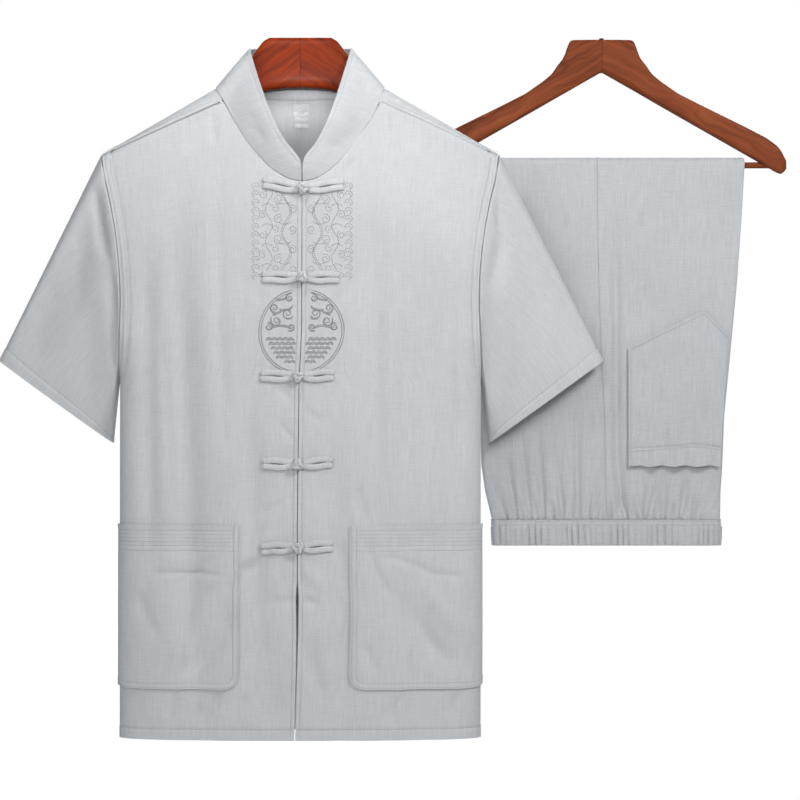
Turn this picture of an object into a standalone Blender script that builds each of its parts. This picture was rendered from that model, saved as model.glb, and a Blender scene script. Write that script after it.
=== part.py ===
"""Short-sleeved tai chi uniform as it hangs: a stand-collar jacket with frog fastenings on one
wooden hanger, and elastic-waist trousers folded over the bar of a second one.

Metres, +Z up. The viewer looks along +Y, so the front of the cloth faces -Y. The origin is the
middle of the top of the jacket hanger's neck, where its hook would screw in. Each piece that a
maker would cut is its own closed solid, and pieces lie SEAM apart where they are sewn together.
"""

import math

import bmesh
import bpy
import numpy as np

# Cloth and seams
JACKET_WALL = 0.0012
TROUSER_WALL = 0.0010
COLLAR_WALL = 0.0022
BAND_WALL = 0.0030
SEAM = 0.0003
PANEL_GAP = 0.0008

# Jacket, as it hangs
HEM_Z = -0.8135
UNDERARM_Z = -0.405
FRONT_DEPTH = 0.043
BACK_DEPTH = 0.062
SECTION_POWER = 0.77
NECK_SPANS = 6
SHOULDER_SPANS = 8
SIDE_SEAM_ANGLE = 97.0
NECK_HALF = 0.099
NECK_FRONT_Z = -0.1706
NECK_SIDE_Z = -0.060
NECK_BACK_Z = -0.070
NECK_CURVE = 1.85
SHOULDER_SLOPE = 0.58
SHOULDER_TIP_X = 0.2300
SHOULDER_ROLL = 0.013
DEPTH_GROWTH = 0.160
BACK_TURN = 0.034
SEAM_NECK_X = 0.0912
SEAM_TIP_X = 0.2300
SEAM_TIP_Z = -0.1375

# Collar
COLLAR_TOP_HALF = 0.059
COLLAR_TOP_SIDE_Z = -0.013
COLLAR_TOP_FRONT_Z = -0.1400
COLLAR_TOP_BACK_Z = -0.009
COLLAR_TOP_FRONT_Y = -0.050
COLLAR_TOP_BACK_Y = 0.027
COLLAR_TOP_CURVE = 1.75
COLLAR_CORNER = 0.012
COLLAR_GAP = 0.0012
NECK_BACK_ANGLES = (90, 66, 44, 25, 10, 2.5, 0)
NECK_SIDE_X = (0.0986, 0.0966)
COLLAR_LIFT = SEAM + JACKET_WALL * 0.9

# Sleeves
CUFF_OUTER_X, CUFF_OUTER_Z = 0.3545, -0.3760
CUFF_INNER_X, CUFF_INNER_Z = 0.2210, -0.4720
CUFF_HALF_DEPTH = 0.017
CUFF_Y = 0.0260

# Patch pockets of the jacket
POCKET_TOP_Z = -0.566
POCKET_BOTTOM_Z = -0.755
POCKET_INNER_X = {"right": 0.0685, "left": 0.0592}
POCKET_CORNER = 0.014

# Frog fastenings
FROG_HEIGHT = 0.0150
FROG_THICK = 0.0032
FROG_KNOT_RADIUS = 0.0066
FROG_REST = 0.0004

# Trousers, folded lengthwise over the bar
BAR_Y = 0.066
BAR_Z = -0.1424
BAR_RADIUS = 0.0037
BAR_CLEAR = 0.00045
WAIST_SEAM_Z = -0.5630
WAIST_BOTTOM_Z = -0.5940
TROUSER_HEM_Z = -0.5880
CROTCH_Z = -0.280
HIP_HALF = 0.0085
LEG_HALF = 0.0020
HEM_HALF = 0.0050
LAYER = 0.00065
SEAM_ALLOWANCE = 0.012
WAIST_GATHERS = 76
GATHER_DEPTH = 0.0013
FOLD_DEPTH = 0.0034
FOLD_FADE = 0.060

BEND_RADIUS = BAR_RADIUS + BAR_CLEAR + LEG_HALF + TROUSER_WALL / 2

# Hangers
TROUSER_HANGER_X = 0.3559
TROUSER_HANGER_Z = 0.0068
FERRULE_RADIUS = 0.0030
FERRULE_HEIGHT = 0.0016

# The front edges drift a little to one side on the way down: height and place of the front line.
FRONT_LINE = {
    "z": (-0.8135, -0.690, -0.560, -0.400, -0.340, -0.1706),
    "x": (-0.0050, -0.002, -0.002, 0.000, 0.003, 0.0035),
}
# The gap between the two front edges: closed above the last frog, open below it.
FRONT_GAP = {
    "z": (-0.8135, -0.720, -0.650, -0.630, -0.400, -0.1706),
    "gap": (0.0010, 0.0016, 0.0034, 0.0010, 0.0008, 0.0008),
}
# The edge of the body seen from the front: the side below the underarm, the armhole above it.
BODY_EDGE = {
    "z": (-0.8135, -0.405, -0.367, -0.308, -0.279, -0.250, -0.221, -0.191, -0.162, -0.147, -0.1375),
    "x": (0.2095, 0.2095, 0.2085, 0.2065, 0.2075, 0.2100, 0.2140, 0.2200, 0.2270, 0.2293, 0.2300),
}
# How far round the section the front panel and the back panel reach, in degrees.
FRONT_REACH = {
    "z": (-0.8135, -0.405, -0.385, -0.350, -0.250, -0.139),
    "angle": (SIDE_SEAM_ANGLE, SIDE_SEAM_ANGLE, 82.0, 66.0, 56.0, 48.0),
}
BACK_REACH = {
    "z": (-0.8135, -0.405, -0.385, -0.350, -0.250, -0.139),
    "angle": (180 - SIDE_SEAM_ANGLE, 180 - SIDE_SEAM_ANGLE, 76.0, 66.0, 56.0, 48.0),
}
# Soft hanging folds, as troughs: side (-1 is the wearer's right), place at the top and at the
# foot, the heights between which they run, half width and depth.
FRONT_FOLDS = (
    {"x_top": -0.140, "x_foot": -0.118, "top": -0.230, "foot": -0.800, "half": 0.018, "depth": 0.0034},
    {"x_top": -0.176, "x_foot": -0.170, "top": -0.260, "foot": -0.600, "half": 0.013, "depth": 0.0024},
    {"x_top": -0.060, "x_foot": -0.044, "top": -0.420, "foot": -0.740, "half": 0.015, "depth": 0.0022},
    {"x_top": 0.082, "x_foot": 0.092, "top": -0.220, "foot": -0.560, "half": 0.017, "depth": 0.0030},
    {"x_top": 0.150, "x_foot": 0.140, "top": -0.240, "foot": -0.800, "half": 0.019, "depth": 0.0032},
    {"x_top": 0.040, "x_foot": 0.052, "top": -0.500, "foot": -0.800, "half": 0.014, "depth": 0.0022},
)
BACK_FOLDS = (
    {"x_top": -0.110, "x_foot": -0.132, "top": -0.200, "foot": -0.860, "half": 0.022, "depth": 0.0080},
    {"x_top": -0.040, "x_foot": -0.052, "top": -0.300, "foot": -0.860, "half": 0.020, "depth": 0.0060},
    {"x_top": 0.030, "x_foot": 0.042, "top": -0.260, "foot": -0.860, "half": 0.022, "depth": 0.0070},
    {"x_top": 0.105, "x_foot": 0.128, "top": -0.180, "foot": -0.860, "half": 0.021, "depth": 0.0080},
)
# Frogs from the neck down: middle of the knot, how far each strap reaches and rises, and how much
# closer the cloth lets it lie.
FROGS = (
    {"x": 0.0050, "z": -0.1790, "right_reach": 0.047, "left_reach": 0.047, "right_rise": 0.0070, "left_rise": 0.0050, "closer": 0.0005},
    {"x": 0.0040, "z": -0.2810, "right_reach": 0.047, "left_reach": 0.043, "right_rise": 0.0005, "left_rise": 0.0000, "closer": 0.0},
    {"x": -0.0010, "z": -0.3950, "right_reach": 0.044, "left_reach": 0.042, "right_rise": 0.0010, "left_rise": 0.0020, "closer": 0.0},
    {"x": -0.0015, "z": -0.4960, "right_reach": 0.041, "left_reach": 0.041, "right_rise": 0.0010, "left_rise": 0.0030, "closer": 0.0},
    {"x": -0.0010, "z": -0.5915, "right_reach": 0.044, "left_reach": 0.040, "right_rise": -0.0010, "left_rise": 0.0020, "closer": 0.0},
)
# The near side of the folded trousers, by height: its two edges, the side seam and how rounded
# its edges are. The left edge is the centre front, the right edge the centre back.
TROUSER_OUTLINE = {
    "z": (-0.5940, -0.5630, -0.530, -0.498, -0.440, -0.360, -0.280, -0.200, -0.1400),
    "left": (0.2270, 0.2250, 0.2170, 0.2125, 0.2110, 0.2085, 0.2065, 0.2050, 0.2040),
    "right": (0.4950, 0.4950, 0.4955, 0.4977, 0.5000, 0.5080, 0.5160, 0.5220, 0.5256),
    "seam": (0.3600, 0.3600, 0.3595, 0.3590, 0.3581, 0.3540, 0.3516, 0.3505, 0.3502),
    "left_round": (0.006, 0.006, 0.006, 0.005, 0.004, 0.003, 0.002, 0.0015, 0.0012),
    "right_round": (0.014, 0.014, 0.012, 0.008, 0.005, 0.003, 0.002, 0.0015, 0.0012),
}
# The legs behind the bar, by height.
LEG_OUTLINE = {
    "z": (-0.5880, -0.450, -0.300, -0.1400),
    "left": (0.2460, 0.2300, 0.2150, 0.2040),
    "right": (0.4780, 0.4960, 0.5120, 0.5256),
    "seam": (0.3580, 0.3560, 0.3530, 0.3502),
}
# The patch pocket on the trousers hangs upside down: its corners, from the opening round.
BACK_POCKET = {
    "opening_z": -0.5000,
    "left_x": 0.3860,
    "right_x": 0.4940,
    "corner_z": -0.3603,
    "point_x": 0.4756,
    "point_z": -0.3145,
    "far_corner_z": -0.3468,
}
# Hanger outlines from the middle out to one tip, below the top of the neck: top edge, bottom
# edge and half the depth.
JACKET_HANGER = {
    "x": (0.0, 0.020, 0.036, 0.043, 0.050, 0.060, 0.075, 0.099, 0.130, 0.170, 0.205, 0.216, 0.222),
    "top": (0.0, 0.0, 0.0, -0.004, -0.013, -0.028, -0.049, -0.0695, None, None, None, None, -0.142),
    "bottom": (-0.058, -0.059, -0.061, -0.063, -0.0645, -0.067, -0.0726, -0.084, -0.102, -0.125, -0.1455,
               -0.1500, -0.1475),
    "half": (0.0090, 0.0090, 0.0090, 0.0090, 0.0088, 0.0084, 0.0078, 0.0074, 0.0085, 0.0090, 0.0090, 0.0080, 0.0040),
}
TROUSER_HANGER = {
    "x": (0.0, 0.020, 0.036, 0.0395, 0.0417, 0.0453, 0.053, 0.059, 0.0704, 0.091, 0.1193, 0.168, 0.1956,
          0.2087, 0.2158, 0.2194),
    "top": (0.0, 0.0, -0.0004, -0.003, -0.0119, -0.0215, -0.031, -0.0405, -0.050, -0.0644, -0.0787, -0.1026,
            -0.1169, -0.1264, -0.136, -0.1455),
    "bottom": (-0.0382, -0.0496, -0.0588, -0.0608, -0.0620, -0.0641, -0.0685, -0.0719, -0.0784, -0.0902, -0.1063,
               -0.1341, -0.1499, -0.1575, -0.1600, -0.1530),
    "half": (0.0095, 0.0095, 0.0095, 0.0095, 0.0095, 0.0095, 0.010, 0.0105, 0.011, 0.011, 0.011, 0.011, 0.011,
             0.011, 0.0095, 0.0050),
}
HANGER_RING = 12
HANGER_ROUND = 0.82
HANGER_CLEAR = 0.0019

PALE_GREY = (0.56, 0.59, 0.61)
LABEL_GREY = (0.72, 0.73, 0.74)
RED_WOOD = (0.33, 0.085, 0.025)
BROWN_WOOD = (0.22, 0.075, 0.035)
DARK_METAL = (0.08, 0.08, 0.085)


def table_at(table, column, z):
    """A column of a short table, read between its heights."""
    order = np.argsort(table["z"])
    return np.interp(z, np.array(table["z"])[order], np.array(table[column])[order])


def smooth_step(value):
    """0 to 1 with level ends."""
    value = np.clip(value, 0.0, 1.0)
    return value * value * (3 - 2 * value)


def clear_scene():
    """Removes the objects of the start-up scene."""
    for obj in list(bpy.data.objects):
        bpy.data.objects.remove(obj)


def finish_material(name, colour, roughness, metallic=0.0):
    """A plain Principled finish."""
    material = bpy.data.materials.new(name)
    material.use_nodes = True
    shader = material.node_tree.nodes["Principled BSDF"]
    shader.inputs["Base Color"].default_value = (*colour, 1.0)
    shader.inputs["Roughness"].default_value = roughness
    shader.inputs["Metallic"].default_value = metallic
    return material


def new_object(name, mesh, material, collection):
    """An object for a finished mesh, in the uniform's collection."""
    obj = bpy.data.objects.new(name, mesh)
    mesh.materials.append(material)
    collection.objects.link(obj)
    return obj


def grid_mesh(name, points, around=False):
    """A mesh through rows of points. With around, each row is a closed ring."""
    rows, columns = points.shape[:2]
    mesh = bpy.data.meshes.new(name)
    spans = columns if around else columns - 1
    faces = [
        (r * columns + c, r * columns + (c + 1) % columns, (r + 1) * columns + (c + 1) % columns, (r + 1) * columns + c)
        for r in range(rows - 1)
        for c in range(spans)
    ]
    mesh.from_pydata(points.reshape(-1, 3).tolist(), [], faces)
    return mesh


def cloth(name, points, wall, material, collection, around=False):
    """A cloth wall: the surface through its middle, thickened by Solidify."""
    mesh = grid_mesh(name, points, around)
    mesh.shade_smooth()
    obj = new_object(name, mesh, material, collection)
    thickness = obj.modifiers.new("wall", "SOLIDIFY")
    thickness.thickness = wall
    thickness.offset = 0.0
    thickness.use_even_offset = False
    return obj


def ring_body(name, rings, material, collection, capped):
    """A closed body through rings of points. capped closes both ends, else the rings close on themselves."""
    count, columns = rings.shape[:2]
    ring_pairs = [(r, r + 1) for r in range(count - 1)] + ([] if capped else [(count - 1, 0)])
    faces = [
        (a * columns + c, a * columns + (c + 1) % columns, b * columns + (c + 1) % columns, b * columns + c)
        for a, b in ring_pairs
        for c in range(columns)
    ]
    if capped:
        faces += [tuple(range(columns))[::-1], tuple((count - 1) * columns + c for c in range(columns))]
    mesh = bpy.data.meshes.new(name)
    mesh.from_pydata(rings.reshape(-1, 3).tolist(), [], faces)
    face_outwards(mesh)
    mesh.shade_smooth()
    return new_object(name, mesh, material, collection)


def face_outwards(mesh):
    """Turns every face of a closed mesh outwards."""
    work = bmesh.new()
    work.from_mesh(mesh)
    bmesh.ops.recalc_face_normals(work, faces=work.faces)
    work.to_mesh(mesh)
    work.free()


def ridge_z(x):
    """The top of the shoulder roll at this distance from the middle."""
    return NECK_SIDE_Z - SHOULDER_SLOPE * (np.abs(x) - NECK_HALF)


def body_section(u, z, reach, depth):
    """Distance from the middle and depth at share u of the way round one quarter of the body.

    The section is a rounded oval, x = half * sin(t) ** p and y = depth * cos(t) ** p. Past 90
    degrees it carries on round the side, where the returned depth is negative.
    """
    edge = table_at(BODY_EDGE, "x", z)
    end = math.radians(float(table_at(reach, "angle", z)))
    half = edge if z <= UNDERARM_Z else edge / math.sin(min(end, math.pi / 2)) ** SECTION_POWER
    t = np.linspace(0.0, end, 160)
    x = half * np.sin(t) ** SECTION_POWER
    other = BACK_DEPTH if depth == FRONT_DEPTH else FRONT_DEPTH
    y = np.where(t < math.pi / 2, depth, -other) * np.abs(np.cos(t)) ** SECTION_POWER
    along = np.concatenate([[0.0], np.cumsum(np.hypot(np.diff(x), np.diff(y)))])
    share = u * (1 - PANEL_GAP / 2 / along[-1])
    return np.interp(share, along / along[-1], x), np.interp(share, along / along[-1], y)


def fold_depth(folds, x, z):
    """How far the hanging folds take the surface inwards at a place."""
    total = 0.0
    for fold in folds:
        share = (fold["top"] - z) / (fold["top"] - fold["foot"])
        if not 0.0 < share < 1.0:
            continue
        middle = fold["x_top"] + (fold["x_foot"] - fold["x_top"]) * share
        fade = smooth_step(share * 3.5) * smooth_step((1 - share) * 5.0)
        total += fold["depth"] * fade * math.exp(-(((x - middle) / fold["half"]) ** 2))
    return total


def rolled_depth(drop, depth):
    """Depth of the cloth a drop below the shoulder's ridge: a round roll, then slowly fuller."""
    if drop < SHOULDER_ROLL:
        return math.sqrt(max(drop * (2 * SHOULDER_ROLL - drop), 0.0))
    grown = smooth_step((drop - SHOULDER_ROLL) / DEPTH_GROWTH)
    return SHOULDER_ROLL + (depth - SHOULDER_ROLL) * grown


def front_point(side, u, z):
    """A point on the front of the body. side is -1 for the wearer's right, which shows on the left."""
    x, depth = body_section(u, z, FRONT_REACH, FRONT_DEPTH)
    line = table_at(FRONT_LINE, "x", z)
    gap = table_at(FRONT_GAP, "gap", z)
    placed = side * x + (line + side * gap / 2) * (1 - u)
    if depth > 0:
        depth = rolled_depth(float(ridge_z(x) - z), depth) if z > UNDERARM_Z else depth
        depth -= fold_depth(FRONT_FOLDS, placed, z) * smooth_step(depth / 0.02)
    return placed, -depth, z


def back_point(side, u, z):
    """A point on the back of the body, below the shoulder's ridge."""
    x, depth = body_section(u, z, BACK_REACH, BACK_DEPTH)
    depth = rolled_depth(float(ridge_z(x) - z), depth) if z > UNDERARM_Z else depth
    depth -= fold_depth(BACK_FOLDS, side * x, z) * smooth_step(depth / 0.03)
    return side * x, depth, z


def neckline_z(x):
    """Height of the front neckline at this distance from the middle."""
    return NECK_FRONT_Z + (NECK_SIDE_Z - NECK_FRONT_Z) * (abs(x) / NECK_HALF) ** NECK_CURVE


def front_top_z(x):
    """Height of the top edge of a front panel: the neckline, then the forward shoulder seam."""
    if x < SEAM_NECK_X:
        return neckline_z(x)
    share = (x - SEAM_NECK_X) / (SEAM_TIP_X - SEAM_NECK_X)
    return neckline_z(SEAM_NECK_X) * (1 - share) + SEAM_TIP_Z * share


def body_rows(lower, upper):
    """Shares of the height with one row at the underarm."""
    underarm = (UNDERARM_Z - HEM_Z) / (SEAM_TIP_Z - HEM_Z)
    return np.concatenate([np.linspace(0, underarm, lower)[:-1], np.linspace(underarm, 1, upper)])


def front_top_point(side, u):
    """Where column u of a front panel ends, on the neckline or on the shoulder seam."""
    z = -0.120
    for _ in range(6):
        z = front_top_z(float(body_section(u, z, FRONT_REACH, FRONT_DEPTH)[0])) - PANEL_GAP / 2
    return front_point(side, u, z)


def front_columns():
    """Shares of the girth for the columns of a front panel, with one at the corner of neck and shoulder."""
    shares = np.linspace(0.0, 1.0, 60)
    across = [abs(front_top_point(1, u)[0]) for u in shares]
    corner = float(np.interp(SEAM_NECK_X, across, shares))
    return np.concatenate([np.linspace(0.0, corner, NECK_SPANS + 1), np.linspace(corner, 1.0, SHOULDER_SPANS + 1)[1:]])


def front_panel_points(side, lower=6, upper=8):
    """Rows of points from the hem to the neckline and shoulder seam, from the front edge outwards."""
    tops = [front_top_point(side, u)[2] for u in COLUMNS]
    points = []
    for v in body_rows(lower, upper):
        points.append([front_point(side, u, HEM_Z + (top - HEM_Z) * v) for u, top in zip(COLUMNS, tops)])
    return np.array(points)


def shoulder_point(side, x, arc):
    """A point of the shoulder roll. arc runs over the ridge: positive down the back, negative down the front."""
    quarter = SHOULDER_ROLL * math.pi / 2
    if abs(arc) < quarter:
        angle = abs(arc) / SHOULDER_ROLL
        drop, depth = SHOULDER_ROLL * (1 - math.cos(angle)), SHOULDER_ROLL * math.sin(angle)
    else:
        drop, depth = SHOULDER_ROLL + abs(arc) - quarter, SHOULDER_ROLL
    return side * x, math.copysign(depth, arc), float(ridge_z(x)) - drop


def back_neck_points():
    """The back neckline, from the middle of the back out to the shoulder's ridge."""
    points = []
    for angle in np.radians(NECK_BACK_ANGLES):
        x = NECK_HALF * math.cos(angle)
        z = NECK_SIDE_Z + (NECK_BACK_Z - NECK_SIDE_Z) * math.sin(angle)
        drop = max(float(ridge_z(x)) - z, 0.0)
        points.append((x, rolled_depth(drop, BACK_DEPTH), z))
    return points


def neck_side_points():
    """The neckline between the shoulder's ridge and the corner of the forward shoulder seam."""
    points = []
    for x in NECK_SIDE_X:
        z = neckline_z(x)
        points.append((x, -rolled_depth(float(ridge_z(x)) - z, FRONT_DEPTH), z))
    return points


def back_panel_points(lower=5, upper=8, steps=7):
    """Rows of points up the back, over the shoulder's ridge and down to the forward shoulder seam."""
    neck = back_neck_points()
    seam = []
    for u in COLUMNS[NECK_SPANS:]:
        x, y, z = front_top_point(1, u)
        seam.append((x, y, z + PANEL_GAP))
    tops = neck + neck_side_points() + seam
    corner_share = float(COLUMNS[NECK_SPANS])
    shares = np.concatenate([
        np.linspace(0.0, corner_share - 0.09, len(neck)), corner_share - np.array([0.06, 0.03]), COLUMNS[NECK_SPANS:]])
    half = []
    for index, (u, (top_x, top_y, top_z)) in enumerate(zip(shares, tops)):
        over = top_y < 0 or index == len(neck) - 1
        reach = (float(ridge_z(top_x)) if over else top_z) - BACK_TURN
        column = []
        for v in body_rows(lower, upper):
            z = HEM_Z + (reach - HEM_Z) * v
            column.append(back_point(1, u, z))
        last = column[-1]
        past_neck = index - len(neck) + 1
        ridge_x = max(top_x, NECK_HALF + 0.0018 * past_neck)
        for step in range(1, steps + 1):
            share = step / steps
            column.append(roll_to(last, (top_x, top_y, top_z), share, over, ridge_x))
        half.append(column)
    half = np.array(half)
    mirrored = half[:0:-1] * np.array([-1, 1, 1])
    return np.concatenate([mirrored, half]).transpose(1, 0, 2)


def roll_to(start, end, share, over, ridge_x):
    """A point on the way from the back to the panel's top edge, over the ridge where it crosses it."""
    if not over:
        x = start[0] + (end[0] - start[0]) * share
        z = start[2] + (end[2] - start[2]) * share
        return x, rolled_depth(float(ridge_z(x)) - z, BACK_DEPTH), z
    first = arc_of(start, 1)
    last = arc_of(end, -1) if end[1] < 0 else arc_of(end, 1)
    arc = first + (last - first) * share
    ahead = [(last, end[0]), (0.0, ridge_x), (first, start[0])] if last < 0 else [(last, end[0]), (first, start[0])]
    x = float(np.interp(arc, [a for a, _ in ahead], [b for _, b in ahead]))
    side_x, depth, z = shoulder_point(1, x, arc)
    drift = (start[1] - shoulder_point(1, start[0], first)[1]) * (1 - share)
    settle = (end[2] - shoulder_point(1, end[0], last)[2]) * share
    sink = (end[1] - shoulder_point(1, end[0], last)[1]) * share
    return side_x, depth + drift + sink, z + settle


def arc_of(point, sign):
    """The length round the shoulder roll from its ridge to a point's height."""
    drop = max(float(ridge_z(point[0])) - point[2], 0.0)
    if drop < SHOULDER_ROLL:
        return sign * SHOULDER_ROLL * math.acos(1 - drop / SHOULDER_ROLL)
    return sign * (SHOULDER_ROLL * math.pi / 2 + drop - SHOULDER_ROLL)


def armhole_loop(count=12):
    """The armhole of one side, from the shoulder's ridge down the front to the underarm and up the back."""
    heights = np.linspace(0.0, 1.0, count)
    front = []
    for share in heights:
        z = -0.150 + (UNDERARM_Z + 0.150) * share
        x, depth = body_section(1.0, z, FRONT_REACH, FRONT_DEPTH)
        front.append((float(x), -rolled_depth(float(ridge_z(x) - z), depth) if depth > 0 else -float(depth), z))
    back = []
    for share in heights[::-1][1:]:
        z = -0.150 + (UNDERARM_Z + 0.150) * share
        x, depth = body_section(1.0, z, BACK_REACH, BACK_DEPTH)
        back.append((float(x), rolled_depth(float(ridge_z(x) - z), float(depth)), z))
    ridge = (SHOULDER_TIP_X, 0.0, float(ridge_z(SHOULDER_TIP_X)))
    return np.array([ridge] + front + back)


def sleeve_points(side, rows=6):
    """Rings from the armhole to the cuff, straight ruled with a soft fold under the shoulder."""
    armhole = armhole_loop()
    count = len(armhole)
    outer = np.array([CUFF_OUTER_X, CUFF_Y, CUFF_OUTER_Z])
    inner = np.array([CUFF_INNER_X, CUFF_Y, CUFF_INNER_Z])
    middle, across = (outer + inner) / 2, (outer - inner) / 2
    cuff = []
    for turn in np.linspace(0.0, 2 * math.pi, count + 1)[:-1]:
        side_way = math.copysign(abs(math.cos(turn)) ** 0.9, math.cos(turn))
        deep_way = math.copysign(abs(math.sin(turn)) ** 0.8, math.sin(turn))
        cuff.append(middle + across * side_way + np.array([0.0, -CUFF_HALF_DEPTH * deep_way, 0.0]))
    cuff = np.array(cuff)
    down = smooth_step((SEAM_TIP_Z - armhole[:, 2]) / (SEAM_TIP_Z - UNDERARM_Z))
    start = armhole + np.array([1.0, 0.0, 0.0]) * (0.0014 + 0.0026 * down ** 3)[:, None]
    rings = []
    for share in np.linspace(0.0, 1.0, rows):
        ring = start + (cuff - start) * share
        sag = 0.006 * math.sin(math.pi * share) * np.exp(-(((np.arange(count) - 3.0) / 1.6) ** 2))
        ring[:, 1] += sag
        rings.append(ring)
    return np.array(rings) * np.array([side, 1, 1])


def collar_curves(side):
    """The lower and upper edge of half the collar band, from the middle of the back round to the front."""
    line = float(table_at(FRONT_LINE, "x", NECK_FRONT_Z))
    lower = [(side * x, y, z) for x, y, z in back_neck_points() + neck_side_points()]
    lower += [front_top_point(side, u) for u in COLUMNS[NECK_SPANS::-1]]
    upper = []
    for x, y, _ in lower:
        share = min(abs(x) / NECK_HALF, 1.0)
        part = math.sqrt(1 - share * share)
        if y < 0:
            z = COLLAR_TOP_FRONT_Z + (COLLAR_TOP_SIDE_Z - COLLAR_TOP_FRONT_Z) * share ** COLLAR_TOP_CURVE
            upper.append((side * COLLAR_TOP_HALF * share + line * (1 - share), COLLAR_TOP_FRONT_Y * part, z))
        else:
            z = COLLAR_TOP_SIDE_Z + (COLLAR_TOP_BACK_Z - COLLAR_TOP_SIDE_Z) * part
            upper.append((side * COLLAR_TOP_HALF * share, COLLAR_TOP_BACK_Y * part, z))
    lower[-1] = (line + side * COLLAR_GAP / 2, *lower[-1][1:])
    upper[-1] = (line + side * (COLLAR_GAP / 2 + COLLAR_CORNER * 0.25), upper[-1][1], upper[-1][2] - COLLAR_CORNER * 0.35)
    return np.array(lower), np.array(upper)


def collar_points(rows=5):
    """The collar band between its two edges, bowed outwards a little, with rounded front corners."""
    halves = []
    for side in (-1, 1):
        lower, upper = collar_curves(side)
        rise = upper - lower
        beside = smooth_step((np.abs(lower[:, 0]) - 0.070) / 0.020)
        high = COLLAR_LIFT + beside * np.where(lower[:, 1] >= 0, 0.0024, 0.0006)
        lift = rise * (high / np.linalg.norm(rise, axis=1))[:, None]
        bow = np.sign(lower[:, 1] - 0.005) * 0.0015
        half = []
        for share in np.linspace(0.0, 1.0, rows):
            row = lower + lift * (1 - share) + rise * share
            row[:, 1] += bow * math.sin(math.pi * share)
            half.append(row)
        halves.append(np.array(half))
    return np.concatenate([halves[0][:, ::-1], halves[1][:, 1:]], axis=1)


def outward_shift(points, distance):
    """Moves a surface of rows along its own normals, which face the way the rows turn."""
    down = np.gradient(points, axis=0)
    across = np.gradient(points, axis=1)
    normal = np.cross(across, down)
    normal /= np.linalg.norm(normal, axis=2)[:, :, None]
    return points + normal * distance


def pocket_points(side, rows=8):
    """A patch pocket made from the front panel's own points, moved out, with a rounded inner corner."""
    inner = POCKET_INNER_X["right" if side < 0 else "left"]
    start = front_share_at(side, inner, POCKET_TOP_Z)
    shares = [start] + [u for u in COLUMNS if u > start + 0.01]
    shares[-1] = 0.985
    points = []
    for v in np.linspace(0.0, 1.0, rows):
        row = []
        for index, u in enumerate(shares):
            z = POCKET_BOTTOM_Z + (POCKET_TOP_Z - POCKET_BOTTOM_Z) * v
            corner = POCKET_CORNER * 0.35 if v == 0.0 and index == 0 else 0.0
            row.append(front_point(side, u + corner / 0.23, z + corner))
        points.append(row)
    points = np.array(points)
    out = SEAM + JACKET_WALL + 0.0006
    return outward_shift(points, out * (1 if side > 0 else -1))


def front_share_at(side, x, z):
    """The share u at which a front panel is x from the middle."""
    shares = np.linspace(0.0, 1.0, 80)
    across = np.array([abs(front_point(side, u, z)[0]) for u in shares])
    turn = int(np.argmax(across))
    return float(np.interp(x, across[: turn + 1], shares[: turn + 1]))


def cloth_front(x, z):
    """The outer face of the jacket's front at a place."""
    side = -1 if x < float(table_at(FRONT_LINE, "x", z)) else 1
    depth = -front_point(side, front_share_at(side, abs(x), z), z)[1]
    return -depth - JACKET_WALL / 2


def frog_strap(name, frog, side, material, collection):
    """One strap: two rolled cords side by side, so that its section has two humps and a groove."""
    reach = frog["right_reach"] if side < 0 else frog["left_reach"]
    rise = frog["right_rise"] if side < 0 else frog["left_rise"]
    profile = [(-0.5, 0.0), (-0.5, 0.45), (-0.36, 0.92), (-0.16, 0.92), (0.0, 0.50), (0.16, 0.92), (0.36, 0.92),
               (0.5, 0.45), (0.5, 0.0)]
    start = FROG_KNOT_RADIUS + FROG_REST
    rings = []
    for share in (0.0, 0.3, 0.65, 1.0):
        x = frog["x"] + side * (start + (reach - start) * share)
        z = frog["z"] + rise * share
        height = FROG_HEIGHT * (0.72 + 0.28 * smooth_step(share * 3))
        rest = min(cloth_front(x + aside, z + end * height) for end in (-0.5, 0.0, 0.5) for aside in (-0.003, 0.0, 0.003))
        rest += frog["closer"] - FROG_REST
        rings.append([(x, rest - FROG_THICK * out, z + height * up) for up, out in profile])
    return ring_body(name, np.array(rings), material, collection, capped=True)


def frog_knot(name, frog, material, collection):
    """The knot button, a slightly flattened ball, with its middle over the front edges."""
    mesh = bpy.data.meshes.new(name)
    work = bmesh.new()
    bmesh.ops.create_uvsphere(work, u_segments=8, v_segments=6, radius=FROG_KNOT_RADIUS)
    front = min(cloth_front(frog["x"] + x, frog["z"]) for x in (-0.004, 0.0, 0.004))
    for vertex in work.verts:
        vertex.co.y *= 0.86
        vertex.co.x += frog["x"]
        vertex.co.y += front - FROG_REST - FROG_KNOT_RADIUS * 0.86
        vertex.co.z += frog["z"]
    work.to_mesh(mesh)
    work.free()
    mesh.shade_smooth()
    return new_object(name, mesh, material, collection)


def trouser_half_depth(z, behind):
    """Half the depth of the folded trousers: thin over the bar, fuller at the hips and the hems."""
    if behind:
        return LEG_HALF + (HEM_HALF - LEG_HALF) * smooth_step((BAR_Z - z) / 0.25)
    return LEG_HALF + (HIP_HALF - LEG_HALF) * smooth_step((BAR_Z - z) / 0.30)


def trouser_stations():
    """Places along the cloth from the waist seam up, over the bar and down to the hem."""
    heights = WAIST_SEAM_Z + SEAM + np.array(
        [0.0, 0.012, 0.030, 0.060, 0.110, 0.180, 0.235, 0.265, 0.300, 0.380])
    stations = [{"z": z, "angle": None, "behind": False} for z in heights]
    stations += [{"z": BAR_Z, "angle": a, "behind": a > math.pi / 2} for a in np.linspace(0.0, math.pi, 6)]
    stations += [{"z": z, "angle": None, "behind": True} for z in (-0.200, -0.330, -0.460, TROUSER_HEM_Z)]
    return stations


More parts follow.
